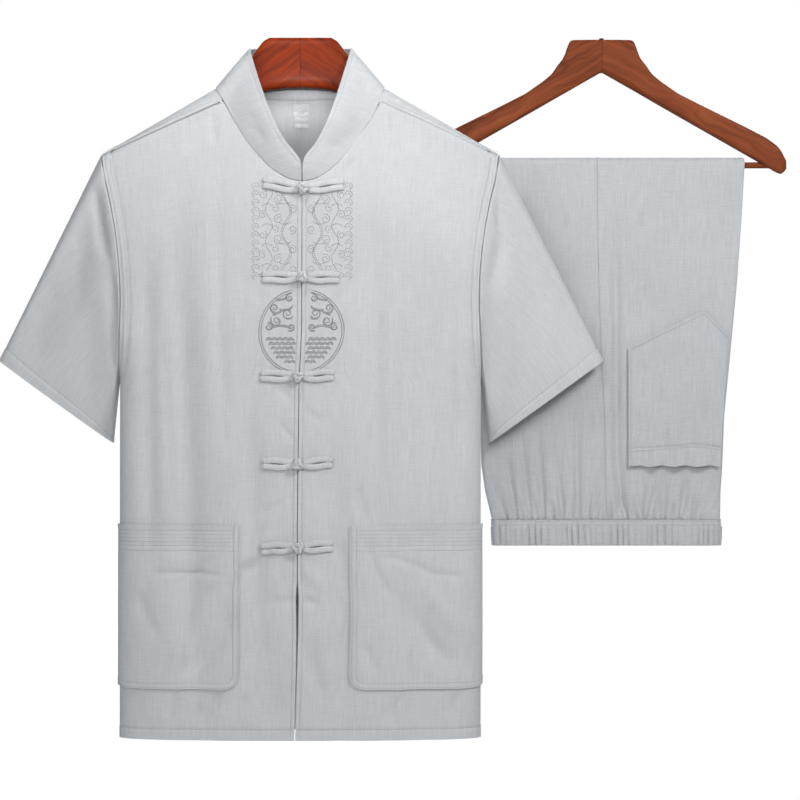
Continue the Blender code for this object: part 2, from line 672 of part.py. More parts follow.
def crotch_share(z):
    """How much of the inner layer is there: all of it in the legs, only the seam allowance at the hips."""
    return float(smooth_step((z - (CROTCH_Z - 0.095)) / 0.095))


def trouser_folds(x, z, station):
    """How far the near side's gathers and its long crease move the cloth at a place."""
    if station["behind"] or station["angle"] is not None:
        return 0.0
    above = z - WAIST_SEAM_Z
    crease_x = 0.3720 + 0.006 * smooth_step((-0.46 - z) / 0.1)
    crease = 0.0030 * math.exp(-(((x - crease_x) / 0.0050) ** 2)) * smooth_step((BAR_Z - 0.05 - z) / 0.10)
    return -crease * smooth_step(above / 0.03)


def trouser_panel_points(near, right, outer_columns, inner_columns):
    """One of the four panels. near is the side that faces the viewer, right the centre back half.

    Each row runs from the side seam out to the fold at the edge, round it, and back along the
    inner layer to the inseam, or at the hips only as far as the seam allowance.
    """
    stations = trouser_stations()
    way = 1 if right else -1
    face = 1 if near else -1
    rows = []
    for station in stations:
        z, angle, behind = station["z"], station["angle"], station["behind"]
        outline = LEG_OUTLINE if behind else TROUSER_OUTLINE
        seam = float(table_at(outline, "seam", z))
        edge = float(table_at(outline, "right" if right else "left", z))
        half = LEG_HALF if angle is not None else trouser_half_depth(z, behind)
        layer_out, layer_in = half, LAYER
        bend_deep = (layer_out - layer_in) / 2
        if behind or angle is not None:
            bend_wide = bend_deep
        else:
            bend_wide = max(float(table_at(outline, "right_round" if right else "left_round", z)), bend_deep)
            bend_wide = bend_wide if near else bend_deep * 1.2
        legs = 1.0 if (behind or angle is not None) else crotch_share(z)
        inner_end = seam * legs + (edge - way * (SEAM_ALLOWANCE + bend_wide)) * (1 - legs) + way * PANEL_GAP / 2
        turn_x = edge - way * (bend_wide + TROUSER_WALL / 2)
        line = [(x, layer_out) for x in np.linspace(seam + way * PANEL_GAP / 2, turn_x, outer_columns)]
        line += [(turn_x + way * bend_wide * math.sin(t), (layer_out + layer_in) / 2 + bend_deep * math.cos(t))
                 for t in np.linspace(0.0, math.pi, 5)[1:-1]]
        line += [(x, layer_in) for x in np.linspace(turn_x, inner_end, inner_columns)]
        row = []
        fuller = half - LEG_HALF
        for index, (x, layer) in enumerate(line):
            if near and index < outer_columns - 1 and angle is None and not behind:
                above = z - WAIST_SEAM_Z
                wave = 1 if index % 2 else -1
                fade = math.exp(-above / FOLD_FADE) * smooth_step((outer_columns - index) / 4)
                layer += wave * FOLD_DEPTH / 2 * fade * (0 if index == 0 else 1)
                layer += trouser_folds(x, z, station)
            offset = face * layer
            if angle is not None:
                reach = BEND_RADIUS + offset
                row.append((x, BAR_Y - reach * math.cos(angle), BAR_Z + reach * math.sin(angle)))
            else:
                reach = BEND_RADIUS + fuller + offset
                row.append((x, BAR_Y + (reach if behind else -reach), z))
        rows.append(row)
    return np.array(rows)


def waist_loop(spots, z, half):
    """The flattened ring of the waist: spots are shares of the way round, returned with outward ways."""
    left = float(table_at(TROUSER_OUTLINE, "left", z))
    right = float(table_at(TROUSER_OUTLINE, "right", z))
    left_round = float(table_at(TROUSER_OUTLINE, "left_round", z))
    right_round = float(table_at(TROUSER_OUTLINE, "right_round", z))
    middle_y = BAR_Y - BEND_RADIUS - (half - LEG_HALF)
    t = np.linspace(0.0, math.pi, 24)
    right_arc = [(right - right_round + right_round * math.sin(a), middle_y - half * math.cos(a)) for a in t]
    left_arc = [(left + left_round - left_round * math.sin(a), middle_y + half * math.cos(a)) for a in t]
    path = np.array(right_arc + left_arc + right_arc[:1])
    along = np.concatenate([[0.0], np.cumsum(np.hypot(*np.diff(path, axis=0).T))])
    at = np.array([np.interp(spots, along / along[-1], path[:, k]) for k in (0, 1)]).T
    ahead = np.array([np.interp((spots + 0.002) % 1.0, along / along[-1], path[:, k]) for k in (0, 1)]).T
    way = ahead - at
    outward = np.stack([way[:, 1], -way[:, 0]], axis=1)
    return at, outward / np.linalg.norm(outward, axis=1)[:, None]


def waistband_rings():
    """The elastic casing: gathered on the outside, plain on the inside, with two shirred lines on top."""
    spots = np.arange(2 * WAIST_GATHERS) / (2 * WAIST_GATHERS)
    wave = np.where(np.arange(2 * WAIST_GATHERS) % 2 == 0, 1.0, -1.0)
    levels = (
        {"z": WAIST_SEAM_Z - SEAM / 2, "out": 0.2, "wave": 0.35},
        {"z": WAIST_SEAM_Z - 0.011, "out": 0.5, "wave": 1.0},
        {"z": WAIST_BOTTOM_Z, "out": 0.4, "wave": 0.8},
    )
    rings = []
    for level in levels:
        at, outward = waist_loop(spots, level["z"], HIP_HALF)
        out = BAND_WALL * level["out"] + GATHER_DEPTH / 2 * level["wave"] * (wave + 1)
        rings.append(np.column_stack([at + outward * out[:, None], np.full(len(at), level["z"])]))
    for z in (WAIST_BOTTOM_Z, WAIST_SEAM_Z - SEAM / 2):
        at, outward = waist_loop(spots, z, HIP_HALF)
        rings.append(np.column_stack([at - outward * BAND_WALL / 2, np.full(len(at), z)]))
    return np.array(rings)


def back_pocket_points(columns=7, rows=6):
    """The trousers' patch pocket, opening downwards as it hangs and pointed at its closed end."""
    points = []
    front = BAR_Y - BEND_RADIUS
    for v in np.linspace(0.0, 1.0, rows):
        row = []
        for share in np.linspace(0.0, 1.0, columns):
            x = BACK_POCKET["left_x"] + (BACK_POCKET["right_x"] - BACK_POCKET["left_x"]) * share
            x += 0.010 * share * v
            point = (BACK_POCKET["point_x"] - BACK_POCKET["left_x"]) / 0.118
            rise = np.interp(share, (0.0, point, 1.0), (0.0, 1.0, 0.35))
            top = BACK_POCKET["corner_z"] + (BACK_POCKET["point_z"] - BACK_POCKET["corner_z"]) * rise
            z = BACK_POCKET["opening_z"] + (top - BACK_POCKET["opening_z"]) * v
            half = trouser_half_depth(z, False)
            out = front - (half - LEG_HALF) - half - FOLD_DEPTH * 0.5 * math.exp(-(z - WAIST_SEAM_Z) / FOLD_FADE)
            row.append((x, out - TROUSER_WALL - SEAM - 0.0004, z))
        points.append(row)
    return np.array(points)


def hanger_rings(outline, x_middle, y_middle, z_top):
    """Upright slices of a hanger from tip to tip: each a rounded oblong between its two edges."""
    tops = [
        top if top is not None else float(ridge_z(x)) - JACKET_WALL / 2 - HANGER_CLEAR
        for x, top in zip(outline["x"], outline["top"])
    ]
    half = list(zip(outline["x"], tops, outline["bottom"], outline["half"]))
    slices = [(-x, top, bottom, deep) for x, top, bottom, deep in half[:0:-1]] + half
    turns = (np.arange(HANGER_RING) + 0.5) / HANGER_RING * 2 * math.pi
    flat = math.cos(turns[0]) ** HANGER_ROUND
    rings = []
    for x, top, bottom, deep in slices:
        tall = (top - bottom) / 2
        ring = []
        for turn in turns:
            across = math.copysign(abs(math.cos(turn)) ** HANGER_ROUND, math.cos(turn)) / flat
            up = math.copysign(abs(math.sin(turn)) ** HANGER_ROUND, math.sin(turn)) / flat
            ring.append((x_middle + x, y_middle + deep * across, z_top + (top + bottom) / 2 + tall * up))
        rings.append(ring)
    return np.array(rings)


def rod(name, start, end, radius, sides, material, collection):
    """A round bar between two points on one level axis."""
    start, end = np.array(start), np.array(end)
    length = float(np.linalg.norm(end - start))
    mesh = bpy.data.meshes.new(name)
    work = bmesh.new()
    bmesh.ops.create_cone(work, cap_ends=True, segments=sides, radius1=radius, radius2=radius, depth=length)
    work.to_mesh(mesh)
    work.free()
    obj = new_object(name, mesh, material, collection)
    obj.location = (start + end) / 2
    if abs(end[0] - start[0]) > length / 2:
        obj.rotation_euler = (0.0, math.pi / 2, 0.0)
    return obj


def bored(obj, cutter, cutters):
    """Cuts a round bar's clearance out of a piece."""
    cutters.objects.link(cutter)
    cutter.hide_render = True
    cutter.display_type = "WIRE"
    cut = obj.modifiers.new("socket", "BOOLEAN")
    cut.operation = "DIFFERENCE"
    cut.object = cutter


def label_points(top_z, bottom_z, half_width, inset):
    """A small label on the inside of the back, made from the back's own points, moved inwards."""
    points = []
    for z in (bottom_z, (bottom_z + top_z) / 2, top_z):
        row = []
        for x in (-half_width, 0.0, half_width):
            drop = float(ridge_z(x)) - z
            row.append((x, rolled_depth(drop, BACK_DEPTH) - inset, z))
        points.append(row)
    return np.array(points)


def make_jacket(collection, fabric, label):
    """Fronts, back, sleeves, collar, pockets, labels and frogs."""
    for name, side in (("right", -1), ("left", 1)):
        cloth(f"{name}_front", front_panel_points(side), JACKET_WALL, fabric, collection)
        cloth(f"{name}_sleeve", sleeve_points(side), JACKET_WALL, fabric, collection, around=True)
        cloth(f"{name}_pocket", pocket_points(side), JACKET_WALL, fabric, collection)
    cloth("back", back_panel_points(), JACKET_WALL, fabric, collection)
    cloth("collar", collar_points(), COLLAR_WALL, fabric, collection)
    cloth("neck_label", label_points(-0.0745, -0.0885, 0.009, 0.0016), 0.0010, label, collection)
    cloth("size_tab", label_points(-0.0890, -0.1010, 0.008, 0.0018), 0.0010, label, collection)
    for number, frog in enumerate(FROGS, 1):
        frog_strap(f"frog_loop_{number}", frog, -1, fabric, collection)
        frog_strap(f"frog_strap_{number}", frog, 1, fabric, collection)
        frog_knot(f"frog_knot_{number}", frog, fabric, collection)


def make_trousers(collection, fabric):
    """Four panels, the elastic waistband and the patch pocket."""
    panels = (
        ("near_front_panel", True, False, 12, 3),
        ("near_back_panel", True, True, 12, 3),
        ("far_front_panel", False, False, 5, 3),
        ("far_back_panel", False, True, 5, 3),
    )
    for name, near, right, outer, inner in panels:
        cloth(name, trouser_panel_points(near, right, outer, inner), TROUSER_WALL, fabric, collection)
    ring_body("waistband", waistband_rings(), fabric, collection, capped=False)
    cloth("trouser_pocket", back_pocket_points(), TROUSER_WALL, fabric, collection)


def make_hangers(collection, cutters, red_wood, brown_wood, metal):
    """The two hangers, the trouser bar in its sockets and the ferrules that take the hooks."""
    jacket = hanger_rings(JACKET_HANGER, 0.0, 0.0, 0.0)
    ring_body("jacket_hanger", jacket, red_wood, collection, capped=True)
    trouser = hanger_rings(TROUSER_HANGER, TROUSER_HANGER_X, BAR_Y, TROUSER_HANGER_Z)
    arms = ring_body("trouser_hanger", trouser, brown_wood, collection, capped=True)
    half_length = 0.2110
    ends = [(TROUSER_HANGER_X + way * half_length, BAR_Y, BAR_Z) for way in (-1, 1)]
    rod("trouser_bar", *ends, BAR_RADIUS, 14, brown_wood, collection)
    socket_ends = [(TROUSER_HANGER_X + way * (half_length + SEAM), BAR_Y, BAR_Z) for way in (-1, 1)]
    socket = rod("bar_socket", *socket_ends, BAR_RADIUS + SEAM * 1.5, 14, brown_wood, collection)
    collection.objects.unlink(socket)
    bored(arms, socket, cutters)
    foot = (TROUSER_HANGER_X, BAR_Y, TROUSER_HANGER_Z + SEAM)
    head = (TROUSER_HANGER_X, BAR_Y, TROUSER_HANGER_Z + SEAM + FERRULE_HEIGHT)
    rod("hook_ferrule", foot, head, FERRULE_RADIUS, 12, metal, collection)


COLUMNS = front_columns()


def main():
    """Builds the whole uniform."""
    clear_scene()
    uniform = bpy.data.collections.new("tai_chi_uniform")
    cutters = bpy.data.collections.new("cutters")
    bpy.context.scene.collection.children.link(uniform)
    bpy.context.scene.collection.children.link(cutters)
    fabric = finish_material("pale_grey_cloth", PALE_GREY, 0.85)
    label = finish_material("label_tape", LABEL_GREY, 0.6)
    red_wood = finish_material("red_wood", RED_WOOD, 0.3)
    brown_wood = finish_material("brown_wood", BROWN_WOOD, 0.45)
    metal = finish_material("dark_metal", DARK_METAL, 0.4, 1.0)
    make_jacket(uniform, fabric, label)
    make_trousers(uniform, fabric)
    make_hangers(uniform, cutters, red_wood, brown_wood, metal)


main()
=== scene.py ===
"""Looks of a tai chi uniform on two wooden hangers: hung cloth with its creases, seams, stitching,
embroidery, knotted frogs and gathers.

Metres, +Z up, seen along +Y. The origin is the middle of the top of the jacket hanger's neck.
Lengths in tables are in millimetres where a heading says so.
"""

import math

import bpy
import numpy as np
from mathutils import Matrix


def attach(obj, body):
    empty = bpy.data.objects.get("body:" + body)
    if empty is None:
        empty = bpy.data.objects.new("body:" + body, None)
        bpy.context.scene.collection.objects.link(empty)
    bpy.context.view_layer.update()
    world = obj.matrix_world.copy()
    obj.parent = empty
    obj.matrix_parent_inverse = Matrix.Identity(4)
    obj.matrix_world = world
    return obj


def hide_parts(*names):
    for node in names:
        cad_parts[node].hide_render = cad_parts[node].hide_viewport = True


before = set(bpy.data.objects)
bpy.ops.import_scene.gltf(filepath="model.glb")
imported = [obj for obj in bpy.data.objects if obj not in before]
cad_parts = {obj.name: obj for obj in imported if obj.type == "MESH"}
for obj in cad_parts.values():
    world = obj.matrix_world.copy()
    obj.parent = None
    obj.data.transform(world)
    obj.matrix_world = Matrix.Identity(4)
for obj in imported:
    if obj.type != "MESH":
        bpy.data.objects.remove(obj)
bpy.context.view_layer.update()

MM = 0.001

# Cloth and seams
JACKET_WALL = 0.0012
TROUSER_WALL = 0.0010
COLLAR_WALL = 0.0022
BAND_WALL = 0.0030
SEAM = 0.0003
PANEL_GAP = 0.0008

# Jacket
HEM_Z = -0.8135
UNDERARM_Z = -0.405
FRONT_DEPTH = 0.043
BACK_DEPTH = 0.062
SECTION_POWER = 0.77
SIDE_SEAM_ANGLE = 97.0
NECK_HALF = 0.099
NECK_FRONT_Z = -0.1706
NECK_SIDE_Z = -0.060
NECK_BACK_Z = -0.070
NECK_CURVE = 1.85
NECK_BACK_ANGLES = (90, 66, 44, 25, 10, 2.5, 0)
NECK_SIDE_X = (0.0986, 0.0966)
SHOULDER_SLOPE = 0.58
SHOULDER_TIP_X = 0.2300
SHOULDER_ROLL = 0.013
DEPTH_GROWTH = 0.160
BACK_TURN = 0.034
SEAM_NECK_X = 0.0912
SEAM_TIP_X = 0.2300
SEAM_TIP_Z = -0.1375
HEM_TURN = 0.0126
ALLOWANCE = 0.0050
ALLOWANCE_TURN = 0.0020
ARMHOLE_TOP_Z = -0.150
CORNER_COLUMN = 40

# Rows of stitching on the jacket: distances in from the edge that they follow
EDGE_ROW = 0.0045
SEAM_ROW = 0.0046
ARMHOLE_ROWS = (0.0025, 0.0085)
COLLAR_ROW = 0.0055
POCKET_EDGE_ROWS = (0.0018, 0.0070)

# Collar
COLLAR_TOP_HALF = 0.059
COLLAR_TOP_SIDE_Z = -0.013
COLLAR_TOP_FRONT_Z = -0.1400
COLLAR_TOP_BACK_Z = -0.009
COLLAR_TOP_FRONT_Y = -0.050
COLLAR_TOP_BACK_Y = 0.027
COLLAR_TOP_CURVE = 1.75
COLLAR_CORNER = 0.013
COLLAR_GAP = 0.0012
COLLAR_LIFT = SEAM + JACKET_WALL * 0.9

# Sleeves
CUFF_OUTER_X, CUFF_OUTER_Z = 0.3545, -0.3760
CUFF_INNER_X, CUFF_INNER_Z = 0.2210, -0.4720
CUFF_HALF_DEPTH = 0.017
CUFF_Y = 0.0260
CUFF_TURN = 0.0150
SLEEVE_LENGTH = 0.235

# Patch pockets of the jacket
POCKET_TOP_Z = -0.566
POCKET_BOTTOM_Z = -0.755
POCKET_INNER_X = {"right": 0.0685, "left": 0.0592}
POCKET_CORNER = 0.017
POCKET_LIFT = SEAM + JACKET_WALL + 0.0006
POCKET_SIDE_SHARE = 0.985
POCKET_ROWS_Z = (-0.5722, -0.5765, -0.5808, -0.5852, -0.5895, -0.5955)

# Tapes inside the neck: top and bottom height, half width and distance from the back
NECK_TAPE = (-0.0745, -0.0885, 0.009, 0.0016)
SIZE_TAPE = (-0.0890, -0.1010, 0.008, 0.0018)
TAPE_WALL = 0.0004

# Frogs
FROG_HEIGHT = 0.0150
FROG_THICK = 0.0032
FROG_KNOT_RADIUS = 0.0066
FROG_REST = 0.0004

# Trousers
BAR_Y = 0.066
BAR_Z = -0.1424
BAR_RADIUS = 0.0037
BAR_CLEAR = 0.00045
BAR_HALF = 0.2110
WAIST_SEAM_Z = -0.5630
WAIST_BOTTOM_Z = -0.5940
TROUSER_HEM_Z = -0.5880
TROUSER_HEM_TURN = 0.025
CROTCH_Z = -0.280
HIP_HALF = 0.0085
LEG_HALF = 0.0020
HEM_HALF = 0.0050
LAYER = 0.00065
SEAM_ALLOWANCE = 0.012
LEG_FULLNESS = 1.12
WAIST_GATHERS = 76
GATHER_DEPTH = 0.0013
GATHER_LIMIT = 0.0048
SHIRRING_ROWS = (0.0032, 0.0078)
OPENING_ROWS = (0.0165, 0.0210)
BEND_RADIUS = BAR_RADIUS + BAR_CLEAR + LEG_HALF + TROUSER_WALL / 2

# Stitches: length, width and height
JACKET_STITCH = (0.0023, 0.00055, 0.00028)
TROUSER_STITCH = (0.0022, 0.00055, 0.00028)
STITCH_PITCH = 0.0030
STITCH_RISE = 0.0003

# How many times deeper than in its table each kind of trough is made
FRONT_FOLDS_DEEPER = 2.1
FRONT_CREASES_DEEPER = 2.2
SLEEVE_CREASES_DEEPER = 1.5
COLLAR_CREASES_DEEPER = 1.6
WAIST_FOLDS_DEEPER = 4.4

# Hangers
TROUSER_HANGER_X = 0.3559
TROUSER_HANGER_Z = 0.0068
HANGER_CLEAR = 0.0019
FERRULE_RADIUS = 0.0030
FERRULE_HEIGHT = 0.0016

# Lamps: name, place, aim, width and power
LAMPS = (
    ("key", (1.05, -1.15, 0.60), (0.10, 0.0, -0.35), 0.4, 15.2),
    ("fill", (-1.6, -2.1, 0.3), (0.2, 0.0, -0.4), 1.4, 11.0),
    ("front", (0.05, -2.4, 0.05), (0.10, 0.0, -0.30), 0.5, 14.0),
    ("neck", (-0.04, -0.36, 0.20), (0.0, 0.05, -0.11), 0.1, 0.9),
    ("behind", (0.4, 2.4, 0.8), (0.1, 0.0, -0.4), 2.0, 70.0),
)
LIGHT_ALL_ROUND = 0.18

# Where the photograph was taken from
CAMERA_X, CAMERA_Y, CAMERA_Z = 0.11595, -3.0, -0.4219
CAMERA_LENS = 36 * 2.96 / 0.92
FLOOR_Z = -1.55

FRONT_LINE = {
    "z": (-0.8135, -0.690, -0.560, -0.400, -0.340, -0.1706),
    "x": (-0.0050, -0.002, -0.002, 0.000, 0.003, 0.0035),
}
FRONT_GAP = {
    "z": (-0.8135, -0.720, -0.650, -0.630, -0.400, -0.1706),
    "gap": (0.0010, 0.0016, 0.0034, 0.0010, 0.0008, 0.0008),
}
BODY_EDGE = {
    "z": (-0.8135, -0.405, -0.367, -0.308, -0.279, -0.250, -0.221, -0.191, -0.162, -0.147, -0.1375),
    "x": (0.2095, 0.2095, 0.2085, 0.2065, 0.2075, 0.2100, 0.2140, 0.2200, 0.2270, 0.2293, 0.2300),
}
FRONT_REACH = {
    "z": (-0.8135, -0.405, -0.385, -0.350, -0.250, -0.139),
    "angle": (SIDE_SEAM_ANGLE, SIDE_SEAM_ANGLE, 82.0, 66.0, 56.0, 48.0),
}
BACK_REACH = {
    "z": (-0.8135, -0.405, -0.385, -0.350, -0.250, -0.139),
    "angle": (180 - SIDE_SEAM_ANGLE, 180 - SIDE_SEAM_ANGLE, 76.0, 66.0, 56.0, 48.0),
}

# Soft troughs in millimetres: start x, z, end x, z, half width, depth (a ridge if negative), bow.
FRONT_FOLDS = (
    (-140, -200, -118, -830, 18, 3.4, 0),
    (-176, -240, -170, -620, 13, 2.4, 0),
    (-60, -390, -44, -770, 15, 2.2, 0),
    (82, -190, 92, -590, 17, 3.0, 0),
    (150, -210, 140, -830, 19, 3.2, 0),
    (40, -470, 52, -830, 14, 2.2, 0),
)
FRONT_CREASES = (
    (-92, -190, -84, -470, 8, 0.9, 3),
    (-158, -330, -150, -560, 7, 0.9, -2),
    (118, -240, 112, -520, 8, 0.9, 3),
    (186, -250, 181, -520, 7, 1.0, 0),
    (-100, -86, -99, -128, 4, 0.8, 0),
    (101, -92, 104, -140, 5, 0.8, 2),
    (47, -158, 66, -146, 6, 1.2, 2),
    (-24, -446, -5, -470, 4, 0.8, 1),
    (-26, -408, -6, -425, 4, 0.7, -1),
    (7, -432, 26, -447, 5, 0.6, 1),
    (-45, -556, -18, -538, 5, 0.9, 1),
    (-68, -611, -32, -574, 6, -1.3, 2),
    (-60, -624, -27, -590, 5, 1.2, 2),
    (-84, -648, -52, -606, 6, 1.1, -2),
    (-38, -655, -2, -652, 5, 1.1, 0),
    (4, -652, 24, -657, 5, 1.3, 0),
    (5, -612, 30, -640, 6, -0.9, 2),
    (8, -690, 30, -775, 10, 1.8, 3),
    (66, -520, 77, -566, 6, 1.4, 0),
    (30, -560, 52, -610, 7, 0.9, 3),
    (-152, -792, -139, -757, 6, 1.5, 0),
    (-118, -792, -88, -756, 7, 1.7, 1),
    (-80, -790, -60, -760, 6, 1.0, 0),
    (-40, -796, -22, -740, 8, 1.1, 2),
    (96, -792, 120, -760, 8, 1.2, 1),
    (168, -790, 186, -758, 7, 1.0, -1),
    (-168, -622, -84, -624, 4, 1.1, -2),
    (-150, -640, -92, -600, 6, 0.9, 2),
    (-76, -655, -124, -744, 12, 2.6, -6),
    (-104, -650, -150, -728, 10, -1.6, -4),
    (-186, -640, -160, -700, 9, 0.9, 3),
    (76, -584, 108, -650, 6, 1.0, 4),
    (94, -600, 152, -622, 5, 0.9, -2),
    (148, -622, 190, -626, 4, 0.8, 0),
    (112, -640, 186, -736, 13, 2.4, 8),
    (140, -628, 200, -700, 9, -1.2, 4),
    (72, -700, 92, -740, 7, 1.0, 0),
)
BACK_FOLDS = (
    (110, -170, 132, -870, 22, 8.0, 0),
    (40, -240, 52, -870, 20, 6.0, 0),
    (-30, -230, -42, -870, 22, 7.0, 0),
    (-105, -160, -128, -870, 21, 8.0, 0),
)
BACK_CREASES = (
    (-160, -330, -140, -560, 9, 1.4, 4),
    (150, -360, 164, -640, 10, 1.6, -4),
    (-70, -560, -60, -800, 9, 1.3, 3),
    (84, -520, 78, -780, 8, 1.2, -3),
    (-60, -120, -10, -150, 8, 1.0, 5),
    (58, -118, 12, -152, 8, 1.0, -5),
)
SHOULDER_PUCKERS = (
    (-116, -86, -108, -76, 1.8, 0.7, 0),
    (-109, -83, -101, -73, 1.8, 0.8, 0),
    (-102, -80, -95, -70, 1.6, 0.6, 0),
    (112, -84, 104, -75, 1.8, 0.6, 0),
    (104, -81, 97, -71, 1.7, 0.7, 0),
)
SLEEVE_CREASES = {
    "right": (
        (-236, -168, -223, -262, 8, 3.4, 3),
        (-219, -262, -211, -395, 8, 2.2, 0),
        (-250, -190, -262, -330, 13, 1.2, 0),
        (-238, -300, -246, -430, 12, 1.0, 3),
        (-286, -280, -318, -380, 14, 0.9, 0),
    ),
    "left": (
        (228, -164, 238, -232, 7, 3.2, 4),
        (236, -225, 222, -300, 9, 2.6, 0),
        (219, -300, 226, -420, 11, 2.4, 0),
        (262, -230, 284, -360, 14, 1.2, 0),
        (250, -330, 258, -440, 12, 1.0, 0),
    ),
}
COLLAR_CREASES = (
    (30, -136, 72, -104, 13, 1.8, 4),
    (-38, -128, -58, -104, 6, 0.8, 2),
    (-64, -92, -44, -100, 4, 0.5, 0),
    (-84, -86, -70, -60, 7, 0.6, 0),
    (80, -80, 70, -52, 8, 0.6, 0),
)
# Gathers that run up from the waistband: x at the waist, x and z where they end, half width, depth.
WAIST_FOLDS = (
    (231, 215, -518, 3.4, 1.9),
    (242, 232, -533, 2.8, 1.6),
    (254, 240, -474, 3.2, 1.9),
    (262, 258, -540, 2.4, 1.2),
    (270, 257, -448, 3.6, 2.2),
    (279, 274, -534, 2.4, 1.2),
    (287, 276, -434, 3.4, 2.0),
    (298, 293, -536, 2.5, 1.3),
    (309, 300, -472, 3.2, 1.9),
    (322, 327, -532, 2.6, 1.4),
    (327, 324, -430, 3.4, 1.9),
    (341, 352, -507, 3.2, 1.5),
    (349, 352, -540, 2.2, 1.0),
    (366, 364, -536, 2.2, 1.0),
    (384, 375, -522, 3.0, 1.6),
    (395, 391, -538, 2.2, 1.0),
    (406, 414, -500, 3.6, 2.2),
    (417, 420, -536, 2.4, 1.2),
    (427, 430, -500, 3.6, 2.2),
    (438, 442, -538, 2.4, 1.2),
    (448, 457, -506, 3.4, 2.1),
    (461, 467, -530, 2.6, 1.4),
    (475, 490, -508, 3.6, 2.0),
)
FROG_COLUMNS = ("x", "z", "right_reach", "left_reach", "right_rise", "left_rise")
FROGS = [dict(zip(FROG_COLUMNS, row)) for row in (
    (0.0050, -0.1790, 0.047, 0.047, 0.0070, 0.0050),
    (0.0040, -0.2810, 0.047, 0.043, 0.0005, 0.0000),
    (-0.0010, -0.3950, 0.044, 0.042, 0.0010, 0.0020),
    (-0.0015, -0.4960, 0.041, 0.041, 0.0010, 0.0030),
    (-0.0010, -0.5915, 0.044, 0.040, -0.0010, 0.0020),
)]
TROUSER_OUTLINE = {
    "z": (-0.5940, -0.5630, -0.530, -0.498, -0.440, -0.360, -0.280, -0.200, -0.1400),
    "left": (0.2270, 0.2250, 0.2170, 0.2125, 0.2110, 0.2085, 0.2065, 0.2050, 0.2040),
    "right": (0.4950, 0.4950, 0.4955, 0.4977, 0.5000, 0.5080, 0.5160, 0.5220, 0.5256),
    "seam": (0.3600, 0.3600, 0.3595, 0.3590, 0.3581, 0.3540, 0.3516, 0.3505, 0.3502),
    "left_round": (0.006, 0.006, 0.006, 0.005, 0.004, 0.003, 0.002, 0.0015, 0.0012),
    "right_round": (0.014, 0.014, 0.012, 0.008, 0.005, 0.003, 0.002, 0.0015, 0.0012),
}
LEG_OUTLINE = {
    "z": (-0.5880, -0.450, -0.300, -0.1400),
    "left": (0.2460, 0.2300, 0.2150, 0.2040),
    "right": (0.4780, 0.4960, 0.5120, 0.5256),
    "seam": (0.3580, 0.3560, 0.3530, 0.3502),
}
BACK_POCKET = {
    "opening_z": -0.5000,
    "left_x": 0.3860,
    "right_x": 0.4940,
    "corner_z": -0.3603,
    "point_x": 0.4756,
    "point_z": -0.3145,
    "top_width": 0.118,
    "flare": 0.010,
}
JACKET_HANGER = {
    "x": (0.0, 0.020, 0.036, 0.043, 0.050, 0.060, 0.075, 0.099, 0.130, 0.170, 0.205, 0.216, 0.222),
    "top": (0.0, 0.0, 0.0, -0.004, -0.013, -0.028, -0.049, -0.0695, None, None, None, None, -0.142),
    "bottom": (-0.058, -0.059, -0.061, -0.063, -0.0645, -0.067, -0.0726, -0.084, -0.102, -0.125, -0.1455,
               -0.1500, -0.1475),
    "half": (0.0090, 0.0090, 0.0090, 0.0090, 0.0088, 0.0084, 0.0078, 0.0074, 0.0085, 0.0090, 0.0090, 0.0080,
             0.0040),
}
TROUSER_HANGER = {
    "x": (0.0, 0.020, 0.036, 0.0395, 0.0417, 0.0453, 0.053, 0.059, 0.0704, 0.091, 0.1193, 0.168, 0.1956,
          0.2087, 0.2158, 0.2194),
    "top": (0.0, 0.0, -0.0004, -0.003, -0.0119, -0.0215, -0.031, -0.0405, -0.050, -0.0644, -0.0787, -0.1026,
            -0.1169, -0.1264, -0.136, -0.1455),
    "bottom": (-0.0382, -0.0496, -0.0588, -0.0608, -0.0620, -0.0641, -0.0685, -0.0719, -0.0784, -0.0902,
               -0.1063, -0.1341, -0.1499, -0.1575, -0.1600, -0.1530),
    "half": (0.0095, 0.0095, 0.0095, 0.0095, 0.0095, 0.0095, 0.010, 0.0105, 0.011, 0.011, 0.011, 0.011, 0.011,
             0.011, 0.0095, 0.0050),
}


# Numbers and curves


def table_at(table, column, z):
    """A column of a short table, read between its heights."""
    order = np.argsort(table["z"])
    return np.interp(z, np.array(table["z"])[order], np.array(table[column])[order])


def smooth_step(value):
    """0 to 1 with level ends."""
    value = np.clip(value, 0.0, 1.0)
    return value * value * (3 - 2 * value)


def crease_depth(creases, x, z):
    """How far soft troughs go in at a place: for each, its depth times a bell across its slanted
    line times a fade towards both ends."""
    total = np.zeros(np.broadcast(x, z).shape)
    for start_x, start_z, end_x, end_z, half, depth, bow in creases:
        run, rise = (end_x - start_x) * MM, (end_z - start_z) * MM
        length = math.hypot(run, rise)
        along = ((x - start_x * MM) * run + (z - start_z * MM) * rise) / length**2
        away = ((x - start_x * MM) * rise - (z - start_z * MM) * run) / length
        away = away - bow * MM * np.sin(math.pi * np.clip(along, 0.0, 1.0))
        fade = smooth_step((along + 0.10) / 0.40) * smooth_step((1.10 - along) / 0.40)
        total = total + depth * MM * np.exp(-((away / (half * MM)) ** 2)) * fade
    return total


def band(distance, width, height):
    """A doubled strip of cloth along an edge: raised by height up to width from it."""
    return height * (1 - smooth_step((distance - width + 0.0005) / 0.0010))


def groove(distance, place, depth, half=0.0009):
    """The furrow that a row of stitching pulls in, at a distance from an edge."""
    return -depth * np.exp(-(((distance - place) / half) ** 2))


